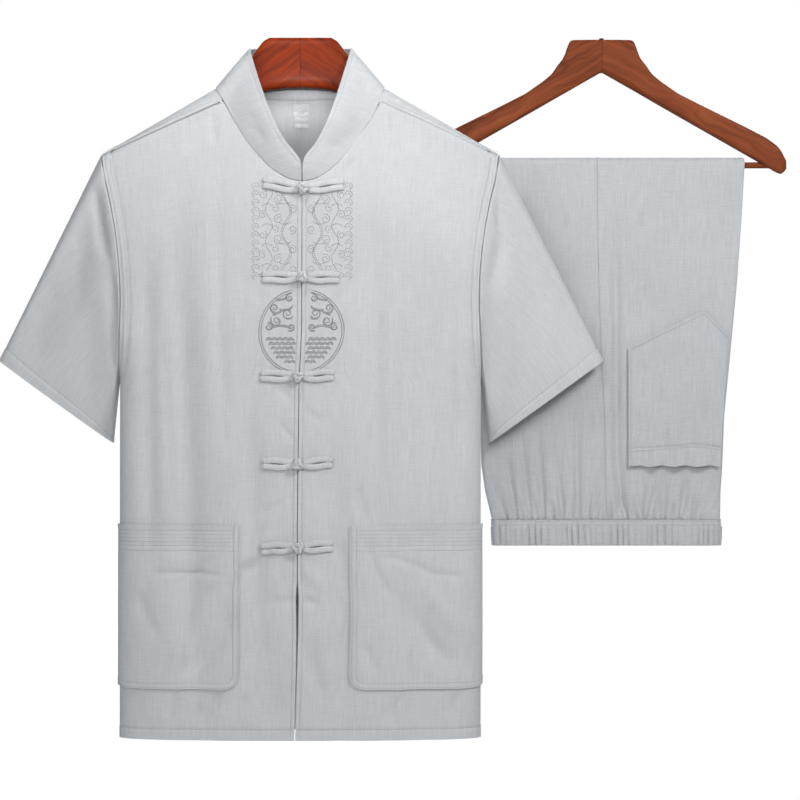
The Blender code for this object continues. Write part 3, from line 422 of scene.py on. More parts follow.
def curve_through(points, places):
    """A smooth curve through rows of points, read at places counted in points: a cubic between
    each two, whose slope at a point is the length-weighted mean of its two chords."""
    gaps = np.linalg.norm(np.diff(points, axis=0), axis=1)[:, None]
    chords = np.diff(points, axis=0) / gaps
    between = (chords[:-1] * gaps[1:] + chords[1:] * gaps[:-1]) / (gaps[1:] + gaps[:-1])
    slopes = np.concatenate([chords[:1], between, chords[-1:]])
    piece = np.clip(np.floor(places).astype(int), 0, len(gaps) - 1)
    t = (places - piece)[:, None]
    h = gaps[piece]
    start, end = points[piece], points[piece + 1]
    return ((2 * t**3 - 3 * t**2 + 1) * start + (t**3 - 2 * t**2 + t) * h * slopes[piece]
            + (3 * t**2 - 2 * t**3) * end + (t**3 - t**2) * h * slopes[piece + 1])


def steps_with_marks(start, stop, count, marks, spread=0.0008):
    """Even steps with two closer ones on each side of every mark, where a seam needs them."""
    near = np.array([m + k * spread for m in marks for k in (-2, -1, 0, 1, 2)])
    steps = np.linspace(start, stop, count)
    steps = steps[np.min(np.abs(steps[:, None] - near[None]), axis=1) > abs(spread) * 0.7]
    steps = np.concatenate([steps, near[(near > start) & (near < stop)], [start, stop]])
    return np.unique(np.round(steps, 6))


def lengths_along(points):
    """Running length along the rows of a path or a grid, from its first point."""
    step = np.linalg.norm(np.diff(points, axis=0), axis=-1)
    return np.concatenate([np.zeros_like(step[:1]), np.cumsum(step, axis=0)])


def unit(vectors):
    """Each vector at length 1."""
    return vectors / np.maximum(np.linalg.norm(vectors, axis=-1, keepdims=True), 1e-12)


def grid_normals(points, outward):
    """Normals of a grid from its rows and columns, turned to the side that outward points to in
    the grid's middle."""
    normal = unit(np.cross(np.gradient(points, axis=1), np.gradient(points, axis=0)))
    middle = normal[points.shape[0] // 2, points.shape[1] // 2]
    return normal if np.dot(middle, outward) > 0 else -normal


# Meshes


def grid_faces(rows, columns, around=False):
    """Squares between neighbouring points of a grid. With around, each row is a closed ring."""
    r, c = np.meshgrid(np.arange(rows - 1), np.arange(columns if around else columns - 1), indexing="ij")
    after = (c + 1) % columns
    corners = [r * columns + c, r * columns + after, (r + 1) * columns + after, (r + 1) * columns + c]
    return np.stack(corners, axis=-1).reshape(-1, 4)


def mark_borders(mesh):
    """Keeps the shading crisp at the open borders of a surface, where its wall gets a rim."""
    edges = np.empty(len(mesh.loops), np.int32)
    mesh.loops.foreach_get("edge_index", edges)
    border = np.bincount(edges, minlength=len(mesh.edges)) == 1
    mesh.attributes.new("sharp_edge", "BOOLEAN", "EDGE").data.foreach_set("value", border)


def make_piece(name, points, faces, finish, nodes=(), uv=None):
    """A piece of its own with its place in its mesh, which rides on the one body. uv holds the
    place on the cloth in metres for each corner of each face."""
    mesh = bpy.data.meshes.new(name)
    mesh.from_pydata(points.reshape(-1, 3).tolist(), [], [face for part in faces for face in part.tolist()])
    if uv is not None:
        mesh.uv_layers.new(name="cloth").data.foreach_set("uv", uv.astype(np.float32).ravel())
    mark_borders(mesh)
    mesh.shade_smooth()
    mesh.materials.append(finish)
    piece = bpy.data.objects.new(name, mesh)
    bpy.context.scene.collection.objects.link(piece)
    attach(piece, "root")
    if nodes:
        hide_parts(*nodes)
    return piece


def cloth_places(points, around=False):
    """Where each point of a grid lies on its cloth: running lengths across and along, in metres."""
    closed = np.concatenate([points, points[:, :1]], axis=1) if around else points
    across = lengths_along(closed.transpose(1, 0, 2)).T
    middle = across[:, across.shape[1] // 2][:, None]
    return np.stack([across - middle, lengths_along(closed)], axis=-1)


def make_cloth(name, points, finish, wall, nodes, cut, around=False):
    """A hung cloth: a grid with the solid's wall and its weave laid by running length; the size that
    it was cut to is worked out but not used. cut has held, rests_on and how much fuller the flat cloth is."""
    rows, columns = points.shape[:2]
    faces = grid_faces(rows, columns, around)
    places = cloth_places(points, around)
    corners = grid_faces(rows, columns + 1) if around else faces
    uv = places.reshape(-1, 2)[corners.reshape(-1)]
    piece = make_piece(name, points, [faces], finish, nodes, uv)
    thickness = piece.modifiers.new("wall", "SOLIDIFY")
    thickness.thickness = wall
    thickness.offset = 0.0
    quads = points.reshape(-1, 3)[faces]
    area = np.linalg.norm(np.cross(quads[:, 2] - quads[:, 0], quads[:, 3] - quads[:, 1]), axis=1).sum() / 2
    width = np.ptp(places[:, :, 0], axis=1).max()
    length = places[:, :, 1].max()
    fuller = cut.get("fuller", 1.0)
    share = min(max(area / (width * length), 0.3), 1.0)
    share * width * fuller * length
    return piece


def make_joined(name, shapes, finish, nodes=()):
    """Several sets of points and faces as one piece."""
    points, faces = merged(shapes)
    return make_piece(name, points, faces, finish, nodes)


def merged(shapes):
    """Several sets of points and faces as one."""
    start, points, faces = 0, [], []
    for some, joined in shapes:
        points.append(some)
        faces += [part + start for part in joined]
        start += len(some)
    return np.concatenate(points), faces


STITCH_FACES = np.array([(0, 1, 4), (1, 2, 4), (2, 3, 4), (3, 0, 4),
                         (1, 0, 5), (2, 1, 5), (3, 2, 5), (0, 3, 5)])


def stitches(points, normals, pitch, size):
    """Stitches along a path: lozenges of length, width and height, one each pitch, on the path's
    normals."""
    along = lengths_along(points)
    count = max(int(round(along[-1] / pitch)), 1)
    middle = (np.arange(count) + 0.5) * along[-1] / count
    at, up, behind, ahead = (
        np.stack([np.interp(middle + shift, along, values[:, k]) for k in range(3)], axis=1)
        for shift, values in ((0, points), (0, normals), (-pitch / 4, points), (pitch / 4, points))
    )
    up, way = unit(up), unit(ahead - behind)
    side = unit(np.cross(way, up))
    length, width, height = size
    half_way, half_side = way * length / 2, side * width / 2
    corners = np.stack([at - half_way, at - half_side, at + half_way, at + half_side,
                        at + up * height, at - up * height], axis=1)
    faces = (STITCH_FACES[None] + 6 * np.arange(count)[:, None, None]).reshape(-1, 3)
    return corners.reshape(-1, 3), [faces]


def cord_along(points, normals, wide, high, sides=8):
    """A cord along a path: rings of half width wide and half height high, which close in a round
    at both ends."""
    way = unit(np.gradient(points, axis=0))
    side = unit(np.cross(way, normals))
    up = np.cross(side, way)
    along = lengths_along(points)
    to_end = np.minimum(along, along[-1] - along)
    swell = np.sqrt(np.clip(1 - (1 - np.clip(to_end / max(wide, high), 0, 1)) ** 2, 0.02, 1))
    turn = np.arange(sides) / sides * 2 * math.pi
    across = (np.cos(turn)[None] * wide * swell[:, None])[:, :, None] * side[:, None]
    out = (np.sin(turn)[None] * high * swell[:, None])[:, :, None] * up[:, None]
    rings = points[:, None] + across + out
    count = len(points)
    caps = [np.arange(sides)[None], ((count - 1) * sides + np.arange(sides)[::-1])[None]]
    return rings.reshape(-1, 3), [grid_faces(count, sides, True)[:, ::-1], *caps]


# The body of the jacket

SECTION_Z = np.linspace(HEM_Z - 0.006, -0.060, 190)
SECTION_U = np.linspace(0.0, 1.0, 161)


def section_table(reach, depth, other_depth):
    """The body's rounded oval at many heights, read evenly along its length: x = half * sin(t) **
    power and y = depth * cos(t) ** power, where past 90 degrees it carries on round the side."""
    z = SECTION_Z[:, None]
    edge = table_at(BODY_EDGE, "x", z)
    end = np.radians(table_at(reach, "angle", z))
    half = np.where(z <= UNDERARM_Z, edge, edge / np.sin(np.minimum(end, math.pi / 2)) ** SECTION_POWER)
    t = end * np.linspace(0.0, 1.0, 200)
    x = half * np.abs(np.sin(t)) ** SECTION_POWER
    y = np.where(t < math.pi / 2, depth, -other_depth) * np.abs(np.cos(t)) ** SECTION_POWER
    along = lengths_along(np.stack([x, y], axis=-1).transpose(1, 0, 2)).T
    wanted = SECTION_U * (along[:, -1:] - PANEL_GAP / 2)
    return {
        "x": np.array([np.interp(w, a, b) for w, a, b in zip(wanted, along, x)]),
        "y": np.array([np.interp(w, a, b) for w, a, b in zip(wanted, along, y)]),
        "length": along[:, -1],
    }


FRONT = section_table(FRONT_REACH, FRONT_DEPTH, BACK_DEPTH)
BACK = section_table(BACK_REACH, BACK_DEPTH, FRONT_DEPTH)


def read_section(values, u, z):
    """A section table between its heights and shares."""
    row = np.clip((z - SECTION_Z[0]) / (SECTION_Z[1] - SECTION_Z[0]), 0, len(SECTION_Z) - 1.001)
    column = np.clip(u * (len(SECTION_U) - 1), 0, len(SECTION_U) - 1.001)
    r, c = row.astype(int), column.astype(int)
    up, over = row - r, column - c
    lower = values[r, c] * (1 - over) + values[r, c + 1] * over
    upper = values[r + 1, c] * (1 - over) + values[r + 1, c + 1] * over
    return lower * (1 - up) + upper * up


def ridge_z(x):
    """The top of the shoulder roll at a distance from the middle."""
    return NECK_SIDE_Z - SHOULDER_SLOPE * (np.abs(x) - NECK_HALF)


def rolled_depth(drop, depth):
    """Depth of the cloth a drop below the shoulder's ridge: a round roll, then slowly fuller."""
    round_part = np.sqrt(np.clip(drop * (2 * SHOULDER_ROLL - drop), 0.0, None))
    grown = SHOULDER_ROLL + (depth - SHOULDER_ROLL) * smooth_step((drop - SHOULDER_ROLL) / DEPTH_GROWTH)
    return np.where(drop < SHOULDER_ROLL, round_part, grown)


def front_surface(side, u, z):
    """The front of the body at share u from the front edge round to the side: the oval section,
    rolled in under the shoulder, less its hanging folds and creases."""
    u, z = np.broadcast_arrays(np.asarray(u, float), np.asarray(z, float))
    x, depth = read_section(FRONT["x"], u, z), read_section(FRONT["y"], u, z)
    gap = table_at(FRONT_GAP, "gap", z)
    placed = side * x + (table_at(FRONT_LINE, "x", z) + side * gap / 2) * (1 - u)
    rolled = np.where(z > UNDERARM_Z, rolled_depth(ridge_z(x) - z, depth), depth)
    inward = crease_depth(FRONT_FOLDS, placed, z) * FRONT_FOLDS_DEEPER
    inward = inward + crease_depth(FRONT_CREASES, placed, z) * FRONT_CREASES_DEEPER
    depth = np.where(depth > 0, rolled - inward * smooth_step(rolled / 0.02), depth)
    return np.stack([placed, -depth, z], axis=-1)


def back_surface(u, z):
    """The back of the body on the +X side, below the shoulder's ridge."""
    x, depth = read_section(BACK["x"], u, z), read_section(BACK["y"], u, z)
    depth = np.where(z > UNDERARM_Z, rolled_depth(ridge_z(x) - z, depth), depth)
    depth = depth - crease_depth(BACK_FOLDS, x, z) * smooth_step(depth / 0.03)
    return np.stack([x, depth, z], axis=-1)


def front_normals(side, u, z):
    """Outward normals of the front, from places a little to each side."""
    across = front_surface(side, u + 0.004, z) - front_surface(side, u - 0.004, z)
    up = front_surface(side, u, z + 0.0012) - front_surface(side, u, z - 0.0012)
    return unit(np.cross(across, up)) * side


def share_at(side, x, z):
    """The share u at which the front is at x, halved down to a thousandth."""
    low, high = np.zeros(np.broadcast(x, z).shape), np.full(np.broadcast(x, z).shape, 0.80)
    for _ in range(16):
        middle = (low + high) / 2
        short = side * front_surface(side, middle, z)[..., 0] < side * x
        low, high = np.where(short, middle, low), np.where(short, high, middle)
    return (low + high) / 2


def on_front(x, z):
    """Points and normals of the cloth's outer face at places seen from the front."""
    x, z = np.broadcast_arrays(np.asarray(x, float), np.asarray(z, float))
    right = x < table_at(FRONT_LINE, "x", z)
    points, normals = np.empty((*x.shape, 3)), np.empty((*x.shape, 3))
    for side, mask in ((-1, right), (1, ~right)):
        if mask.any():
            u = share_at(side, x[mask], z[mask])
            normals[mask] = front_normals(side, u, z[mask])
            points[mask] = front_surface(side, u, z[mask]) + normals[mask] * JACKET_WALL / 2
    return points, normals


def front_relief(u, z):
    """The low relief of a front panel: doubled front edge and hem, the armhole's double-stitched
    band, and the furrows of their stitching."""
    length = np.interp(z, SECTION_Z, FRONT["length"])
    from_edge, from_side, from_hem = u * length, (1 - u) * length, z - HEM_Z
    armhole = smooth_step((z - UNDERARM_Z - 0.004) / 0.02)
    pucker = 0.00010 * np.sin(from_edge * 560) + 0.00008 * np.sin(from_edge * 910 + 1)
    rise = band(from_edge, EDGE_ROW, 0.0003) + groove(from_edge, EDGE_ROW, 0.0003)
    rise = rise + band(from_hem, HEM_TURN, 0.0004) + groove(from_hem, HEM_TURN, 0.0006) * (1 + 1600 * pucker)
    side_row, band_row = ARMHOLE_ROWS
    strip = band(from_side, band_row, 0.0008) + groove(from_side, band_row + 0.0010, 0.0011, 0.0022)
    return rise + armhole * (strip + groove(from_side, side_row, 0.0005))


def neckline_z(x):
    """Height of the front neckline at a distance from the middle."""
    return NECK_FRONT_Z + (NECK_SIDE_Z - NECK_FRONT_Z) * (np.abs(x) / NECK_HALF) ** NECK_CURVE


def front_top(side, u):
    """Where the columns of a front end: on the neckline, then on the forward shoulder seam."""
    z = np.full(u.shape, -0.120)
    for _ in range(8):
        x = read_section(FRONT["x"], u, z)
        share = (x - SEAM_NECK_X) / (SEAM_TIP_X - SEAM_NECK_X)
        seam = neckline_z(SEAM_NECK_X) * (1 - share) + SEAM_TIP_Z * share
        z = np.where(x < SEAM_NECK_X, neckline_z(x), seam) - PANEL_GAP / 2
    return front_surface(side, u, z)


def corner_share():
    """The share at which a front turns from the neckline to the shoulder seam."""
    shares = np.linspace(0.0, 1.0, 400)
    return float(np.interp(SEAM_NECK_X, front_top(1, shares)[:, 0] - 0.0008 * (1 - shares), shares))


CORNER_U = corner_share()


def heights_up(top, lower, upper):
    """Rows up a panel: level ones from the hem to the underarm, then even shares up to the top."""
    rise = np.linspace(0.0, 1.0, upper)[1:, None]
    below = np.repeat(lower[:, None], len(top), axis=1)
    return np.concatenate([below, UNDERARM_Z + (top[None] - UNDERARM_Z) * rise])


def turned_in(edge, rise):
    """Two more rows at a neck edge: the seam allowance, turned in towards the neck's axis under
    the collar and up."""
    turned = edge - unit(edge * np.array([1, 1, 0])) * ALLOWANCE_TURN
    return np.stack([turned, turned + np.array([0.0, 0.0, rise])])


def front_allowance(side, u, z, edge):
    """The allowance at the top of a front: under the collar at the neck, and under the back's
    folded edge at the shoulder, where it follows the front's own surface moved in."""
    rise = np.minimum(ALLOWANCE, (ridge_z(edge[:, 0]) - z) * 0.6)
    low = edge - front_normals(side, u, z) * ALLOWANCE_TURN
    high = front_surface(side, u, z + rise) - front_normals(side, u, z + rise) * ALLOWANCE_TURN
    return np.where(u[None, :, None] < CORNER_U - 0.004, turned_in(edge, 0.0025), np.stack([low, high]))


def front_panel(side):
    """One front panel, from its front edge round to the side seam and from the hem to the neck
    and shoulder, with its relief added along the normals and the seam allowance at its top."""
    u = steps_with_marks(0.0, 1.0, 92, (0.0172, 0.9915, 0.9700), 0.0030)
    u = np.unique(np.concatenate([u[np.abs(u - CORNER_U) > 0.003], [CORNER_U]]))
    lower = steps_with_marks(HEM_Z, UNDERARM_Z, 118, (HEM_Z + HEM_TURN,))
    z = heights_up(front_top(side, u)[:, 2], lower, 96)
    u = np.broadcast_to(u[None], z.shape)
    points = front_surface(side, u, z) + front_normals(side, u, z) * front_relief(u, z)[..., None]
    return np.concatenate([points, front_allowance(side, u[-1], z[-1], points[-1])])


def shoulder_roll(x, arc):
    """Depth and height on the shoulder roll, a length arc past its ridge, the back being
    positive: a round of the roll's radius, then straight down."""
    quarter = SHOULDER_ROLL * math.pi / 2
    angle = np.minimum(np.abs(arc) / SHOULDER_ROLL, math.pi / 2)
    drop = SHOULDER_ROLL * (1 - np.cos(angle)) + np.maximum(np.abs(arc) - quarter, 0.0)
    return SHOULDER_ROLL * np.sin(angle) * np.sign(arc), ridge_z(x) - drop


def arc_from_ridge(points):
    """The length round the shoulder roll from its ridge to the height of points."""
    drop = np.maximum(ridge_z(points[..., 0]) - points[..., 2], 0.0)
    round_part = SHOULDER_ROLL * np.arccos(np.clip(1 - drop / SHOULDER_ROLL, -1, 1))
    return np.where(drop < SHOULDER_ROLL, round_part, SHOULDER_ROLL * (math.pi / 2 - 1) + drop)


def neck_points():
    """The neckline of the back panel: from the middle of the back out to the shoulder's ridge,
    and on to the corner of the forward seam."""
    angle = np.radians(NECK_BACK_ANGLES)
    x = NECK_HALF * np.cos(angle)
    z = NECK_SIDE_Z + (NECK_BACK_Z - NECK_SIDE_Z) * np.sin(angle)
    behind = np.stack([x, rolled_depth(np.maximum(ridge_z(x) - z, 0.0), BACK_DEPTH), z], axis=-1)
    x = np.array(NECK_SIDE_X)
    z = neckline_z(x)
    beside = np.stack([x, -rolled_depth(ridge_z(x) - z, FRONT_DEPTH), z], axis=-1)
    return np.concatenate([behind, beside])


def back_top():
    """The top edge of half the back panel, column by column: its points, its shares of the girth
    and how far each is past the shoulder's ridge, counted in the neckline's points."""
    corner = front_top(1, np.array([CORNER_U])) + np.array([0.0, 0.0, PANEL_GAP])
    neck = np.concatenate([neck_points(), corner])
    ridge, last = len(NECK_BACK_ANGLES) - 1, len(neck) - 1
    places = np.linspace(0.0, last, CORNER_COLUMN + 1)
    neck_shares = np.append(np.linspace(0.0, CORNER_U - 0.09, 7), CORNER_U - np.array([0.06, 0.03, 0.0]))
    neck_u = np.interp(places, np.arange(len(neck)), neck_shares)
    seam_u = np.linspace(CORNER_U, 1.0, 52)[1:]
    seam = front_top(1, seam_u) + np.array([0.0, 0.0, PANEL_GAP])
    past = last - ridge + 8 * (seam_u - CORNER_U) / (1 - CORNER_U)
    points = np.concatenate([curve_through(neck, places), seam])
    return points, np.append(neck_u, seam_u), np.append(places - ridge, past)


def back_half():
    """Half of the back panel: up the body, then over the shoulder roll to the neckline and the
    forward seam. Past the ridge a column follows its arc, and behind the neck its height."""
    top, u, past = back_top()
    over = past >= 0
    reach = np.where(over, ridge_z(top[:, 0]), top[:, 2]) - BACK_TURN
    z = heights_up(reach, steps_with_marks(HEM_Z, UNDERARM_Z, 84, (HEM_Z + HEM_TURN,)), 52)
    body = back_surface(np.broadcast_to(u[None], z.shape), z)
    start = body[-1]
    share = np.linspace(0.0, 1.0, 30)[1:, None]
    straight = start[None] + (top - start)[None] * share[..., None]
    straight[..., 1] = rolled_depth(ridge_z(straight[..., 0]) - straight[..., 2], BACK_DEPTH)
    first, last = arc_from_ridge(start), arc_from_ridge(top) * np.where(top[:, 1] < 0, -1, 1)
    arc = first + (last - first) * share
    ridge_x = np.where(last < 0, np.maximum(top[:, 0], NECK_HALF + 0.0018 * past), top[:, 0])
    front_x = top[:, 0] + (ridge_x - top[:, 0]) * (arc - last) / np.where(last < -1e-6, -last, 1.0)
    behind_x = ridge_x + (start[:, 0] - ridge_x) * (arc - np.maximum(last, 0)) / (first - np.maximum(last, 0))
    x = np.where(arc < np.maximum(last, 0), front_x, behind_x)
    depth, height = shoulder_roll(x, arc)
    first_depth, _ = shoulder_roll(start[:, 0], first)
    last_depth, last_height = shoulder_roll(top[:, 0], last)
    depth = depth + (start[:, 1] - first_depth) * (1 - share) + (top[:, 1] - last_depth) * share
    height = height + (top[:, 2] - last_height) * share
    rolled = np.stack([x, depth, height], axis=-1)
    return np.concatenate([body, np.where(over[None, :, None], rolled, straight)])


def back_panel():
    """The back in one piece: half mirrored, then creases and the relief of the hem and of the
    shoulder seam's folded edge added along the normals."""
    half = back_half()
    points = np.concatenate([half[:, :0:-1] * np.array([-1, 1, 1]), half], axis=1)
    normals = grid_normals(points, (0, 1, 0))
    x, y, z = np.moveaxis(points, -1, 0)
    to_top = lengths_along(points[::-1])[::-1]
    from_middle = np.abs(np.arange(points.shape[1]) - points.shape[1] // 2)
    on_seam = smooth_step((from_middle - CORNER_COLUMN) / 3.0)[None]
    inward = crease_depth(BACK_CREASES, x, z) * smooth_step(y / 0.02)
    inward = inward + crease_depth(SHOULDER_PUCKERS, x, z) * (y < 0.004)
    rise = band(z - HEM_Z, HEM_TURN, 0.0004) + groove(z - HEM_Z, HEM_TURN, 0.0006)
    rise = rise + on_seam * (band(to_top, SEAM_ROW, 0.0005) + groove(to_top, SEAM_ROW, 0.0005))
    points = points + normals * (rise - inward)[..., None]
    at_neck = (from_middle <= CORNER_COLUMN + 2)[None, :, None]
    allowance = np.where(at_neck, turned_in(points[-1], 0.0040), points[-1:])
    return np.concatenate([points, allowance]), np.concatenate([normals, normals[-1:], normals[-1:]])


# Sleeves, collar, pockets and labels


def armhole_points():
    """The armhole of one side: the shoulder's ridge, twelve points down the front to the
    underarm and eleven up the back, on the edges of the panels' sections."""
    z = ARMHOLE_TOP_Z + (UNDERARM_Z - ARMHOLE_TOP_Z) * np.linspace(0.0, 1.0, 12)
    ends = np.ones(12)
    x, depth = read_section(FRONT["x"], ends, z), read_section(FRONT["y"], ends, z)
    front = np.stack([x, -np.where(depth > 0, rolled_depth(ridge_z(x) - z, depth), depth), z], axis=-1)
    x, depth = read_section(BACK["x"], ends, z), read_section(BACK["y"], ends, z)
    back = np.stack([x, rolled_depth(ridge_z(x) - z, depth), z], axis=-1)[::-1][1:]
    ridge = np.array([[SHOULDER_TIP_X, 0.0, float(ridge_z(SHOULDER_TIP_X))]])
    return np.concatenate([ridge, front, back])


def sleeve(side, name):
    """A set-in sleeve: rings ruled straight from just outside the armhole to the flattened oval
    of the cuff, with a soft fold under the shoulder, creases and a turned hem."""
    armhole = armhole_points()
    count = len(armhole)
    turn = np.linspace(0.0, 2 * math.pi, count + 1)[:-1]
    wide = np.sign(np.cos(turn)) * np.abs(np.cos(turn)) ** 0.9
    deep = np.sign(np.sin(turn)) * np.abs(np.sin(turn)) ** 0.8
    outer = np.array([CUFF_OUTER_X, CUFF_Y, CUFF_OUTER_Z])
    inner = np.array([CUFF_INNER_X, CUFF_Y, CUFF_INNER_Z])
    cuff = (outer + inner) / 2 + (outer - inner) / 2 * wide[:, None] - np.outer(deep, (0, CUFF_HALF_DEPTH, 0))
    down = smooth_step((SEAM_TIP_Z - armhole[:, 2]) / (SEAM_TIP_Z - UNDERARM_Z))
    start = armhole + np.outer(0.0014 + 0.0026 * down**3, (1, 0, 0))
    both = np.concatenate([start, cuff], axis=1)
    both = np.concatenate([both[-3:], both, both[:4]])
    places = np.arange(132) / 132 * count
    both = curve_through(both, places + 3)
    share = steps_with_marks(0.0, 1.0, 74, (1 - CUFF_TURN / SLEEVE_LENGTH,), 0.0035)
    points = both[None, :, :3] + (both[:, 3:] - both[:, :3])[None] * share[:, None, None]
    around = np.minimum(np.abs(places - 3.0), count - np.abs(places - 3.0))
    points[..., 1] += 0.006 * np.sin(math.pi * share)[:, None] * np.exp(-((around / 1.6) ** 2))
    points = points * np.array([side, 1, 1])
    closed = np.concatenate([points[:, -1:], points, points[:, :1]], axis=1)
    normals = grid_normals(closed, (0, 1, 0))[:, 1:-1]
    facing = np.sin(places / count * 2 * math.pi)
    seen = smooth_step(facing * 2.5)[None]
    hidden = smooth_step(-facing * 2.5)[None]
    x, _, z = np.moveaxis(points, -1, 0)
    near_seam = smooth_step(share * 9)[:, None]
    inward = near_seam * crease_depth(SLEEVE_CREASES[name], x, z) * SLEEVE_CREASES_DEEPER * seen
    inward = inward + near_seam * crease_depth(SLEEVE_CREASES[name], x, z + 0.02) * hidden
    to_hem = ((1 - share) * SLEEVE_LENGTH)[:, None]
    rise = band(to_hem, CUFF_TURN, 0.0004) + groove(to_hem, CUFF_TURN, 0.0006)
    points = points + normals * (rise - inward)[..., None]
    head = points[0] + unit((points[0].mean(axis=0) - points[0]) * np.array([0, 1, 1])) * 0.0026
    points = np.concatenate([[head - np.array([side * 0.0070, 0, 0]), head], points])
    normals = np.concatenate([normals[:1], normals[:1], normals])
    return points, normals, np.concatenate([[-0.02, -0.01], share])


def rounded_corner(distance, radius):
    """How far a quarter circle cuts in, at a distance from the end that it rounds."""
    return radius - np.sqrt(np.clip(radius**2 - np.clip(radius - distance, 0, None) ** 2, 0, None))


def collar_half(side):
    """Half of the collar band as pairs of lower and upper points, from the middle of the back
    round to the front."""
    neck = neck_points() * np.array([side, 1, 1])
    shares = np.linspace(CORNER_U, 0.0, 7)
    lower = np.concatenate([neck, front_top(side, shares)])
    line = float(table_at(FRONT_LINE, "x", NECK_FRONT_Z))
    share = np.minimum(np.abs(lower[:, 0]) / NECK_HALF, 1.0)
    part = np.sqrt(1 - share**2)
    front = lower[:, 1] < 0
    front_z = COLLAR_TOP_FRONT_Z + (COLLAR_TOP_SIDE_Z - COLLAR_TOP_FRONT_Z) * share**COLLAR_TOP_CURVE
    back_z = COLLAR_TOP_SIDE_Z + (COLLAR_TOP_BACK_Z - COLLAR_TOP_SIDE_Z) * part
    upper = np.stack([
        side * COLLAR_TOP_HALF * share + np.where(front, line * (1 - share), 0.0),
        np.where(front, COLLAR_TOP_FRONT_Y, COLLAR_TOP_BACK_Y) * part,
        np.where(front, front_z, back_z)], axis=-1)
    lower[-1, 0] = line + side * COLLAR_GAP / 2
    upper[-1, 0] = line + side * COLLAR_GAP / 2
    beside = smooth_step((np.abs(lower[:, 0]) - 0.070) / 0.020)
    high = COLLAR_LIFT + beside * np.where(lower[:, 1] >= 0, 0.0024, 0.0006)
    lower = lower + unit(upper - lower) * high[:, None]
    return curve_through(np.concatenate([lower, upper], axis=1), np.linspace(0, len(lower) - 1, 96))


def collar_band():
    """The stand collar: rows between its two edges, bowed outwards, whose top turns down round a
    quarter circle at each front end, with creases and the furrow of its edge stitching."""
    halves = []
    for side in (-1, 1):
        edges = collar_half(side)
        lower, upper = edges[:, :3], edges[:, 3:]
        to_end = lengths_along(upper[::-1])[::-1]
        height = np.linalg.norm(upper - lower, axis=1)
        cut = rounded_corner(to_end, COLLAR_CORNER) / height
        share = steps_with_marks(0.0, 1.0, 24, (0.86,), 0.018)[:, None] * (1 - cut)[None]
        half = lower[None] + (upper - lower)[None] * share[..., None]
        half[..., 1] += np.sign(lower[:, 1] - 0.005)[None] * 0.0015 * np.sin(math.pi * share)
        halves.append(half)
    points = np.concatenate([halves[0][:, ::-1], halves[1][:, 1:]], axis=1)
    normals = grid_normals(points, (0, 1, 0))
    x, y, z = np.moveaxis(points, -1, 0)
    inward = crease_depth(COLLAR_CREASES, x, z) * COLLAR_CREASES_DEEPER * (y < 0)
    to_top = lengths_along(points[::-1])[::-1]
    rise = groove(to_top, COLLAR_ROW, 0.0003, 0.0012) - inward
    return points + normals * rise[..., None], normals


def pocket_surface(side, u, z):
    """The pocket's cloth: the front's own surface moved out, fuller towards its opening, with
    the furrows of the rows of top stitching."""
    rows = sum(groove(z, at, 0.00035, 0.0011) for at in POCKET_ROWS_Z)
    opening = 0.0006 * smooth_step((z - POCKET_TOP_Z + 0.006) / 0.006)
    normals = front_normals(side, u, z)
    return front_surface(side, u, z) + normals * (POCKET_LIFT + opening + rows)[..., None], normals


def pocket_foot(from_inner, from_side):
    """Height of the pocket's lower edge above its lowest line: round at the inner corner, and
    slowly up again at the side."""
    return rounded_corner(from_inner, POCKET_CORNER) + 0.006 * smooth_step(1 - from_side / 0.045) ** 2


def pocket_grid(side, name):
    """A patch pocket over the front, from its inner edge to the side, with a rounded foot and a
    doubled edge all round."""
    edge_row, inner_row = POCKET_EDGE_ROWS
    inner_u = float(share_at(side, np.array(side * POCKET_INNER_X[name]), np.array(POCKET_TOP_Z)))
    length = float(np.interp(POCKET_TOP_Z, SECTION_Z, FRONT["length"]))
    across = steps_with_marks(0.0, (POCKET_SIDE_SHARE - inner_u) * length, 66, POCKET_EDGE_ROWS)
    u = inner_u + across / length
    foot = POCKET_BOTTOM_Z + pocket_foot(across, across[-1] - across)
    rise = np.concatenate([[0.0, 0.006, 0.012, 0.028, 0.036, 0.044], np.linspace(0.06, 1.0, 92)])[:, None]
    z = foot[None] + (POCKET_TOP_Z - foot)[None] * rise
    u = np.broadcast_to(u[None], z.shape)
    points, normals = pocket_surface(side, u, z)
    from_edge = np.minimum(across[None], z - foot[None])
    edges = band(from_edge, inner_row, 0.0004) + groove(from_edge, inner_row, 0.0004)
    edges = edges + groove(from_edge, edge_row, 0.0003)
    return points + normals * edges[..., None], inner_u, length


def pocket_seam_path(inner_u, length, inset):
    """A line of stitching down the pocket's inner edge, round its corner and along its foot."""
    turn = np.linspace(0.0, math.pi / 2, 12)
    radius = POCKET_CORNER - inset
    far = (POCKET_SIDE_SHARE - inner_u) * length
    bottom = np.linspace(POCKET_CORNER, far - 0.002, 60)[1:]
    across = np.concatenate([np.full(40, inset), POCKET_CORNER - radius * np.cos(turn)[1:], bottom])
    down = np.linspace(POCKET_TOP_Z - 0.001, POCKET_BOTTOM_Z + POCKET_CORNER, 40)
    corner = POCKET_BOTTOM_Z + POCKET_CORNER - radius * np.sin(turn)[1:]
    foot = POCKET_BOTTOM_Z + inset + pocket_foot(bottom, far - bottom)
    return inner_u + across / length, np.concatenate([down, corner, foot])


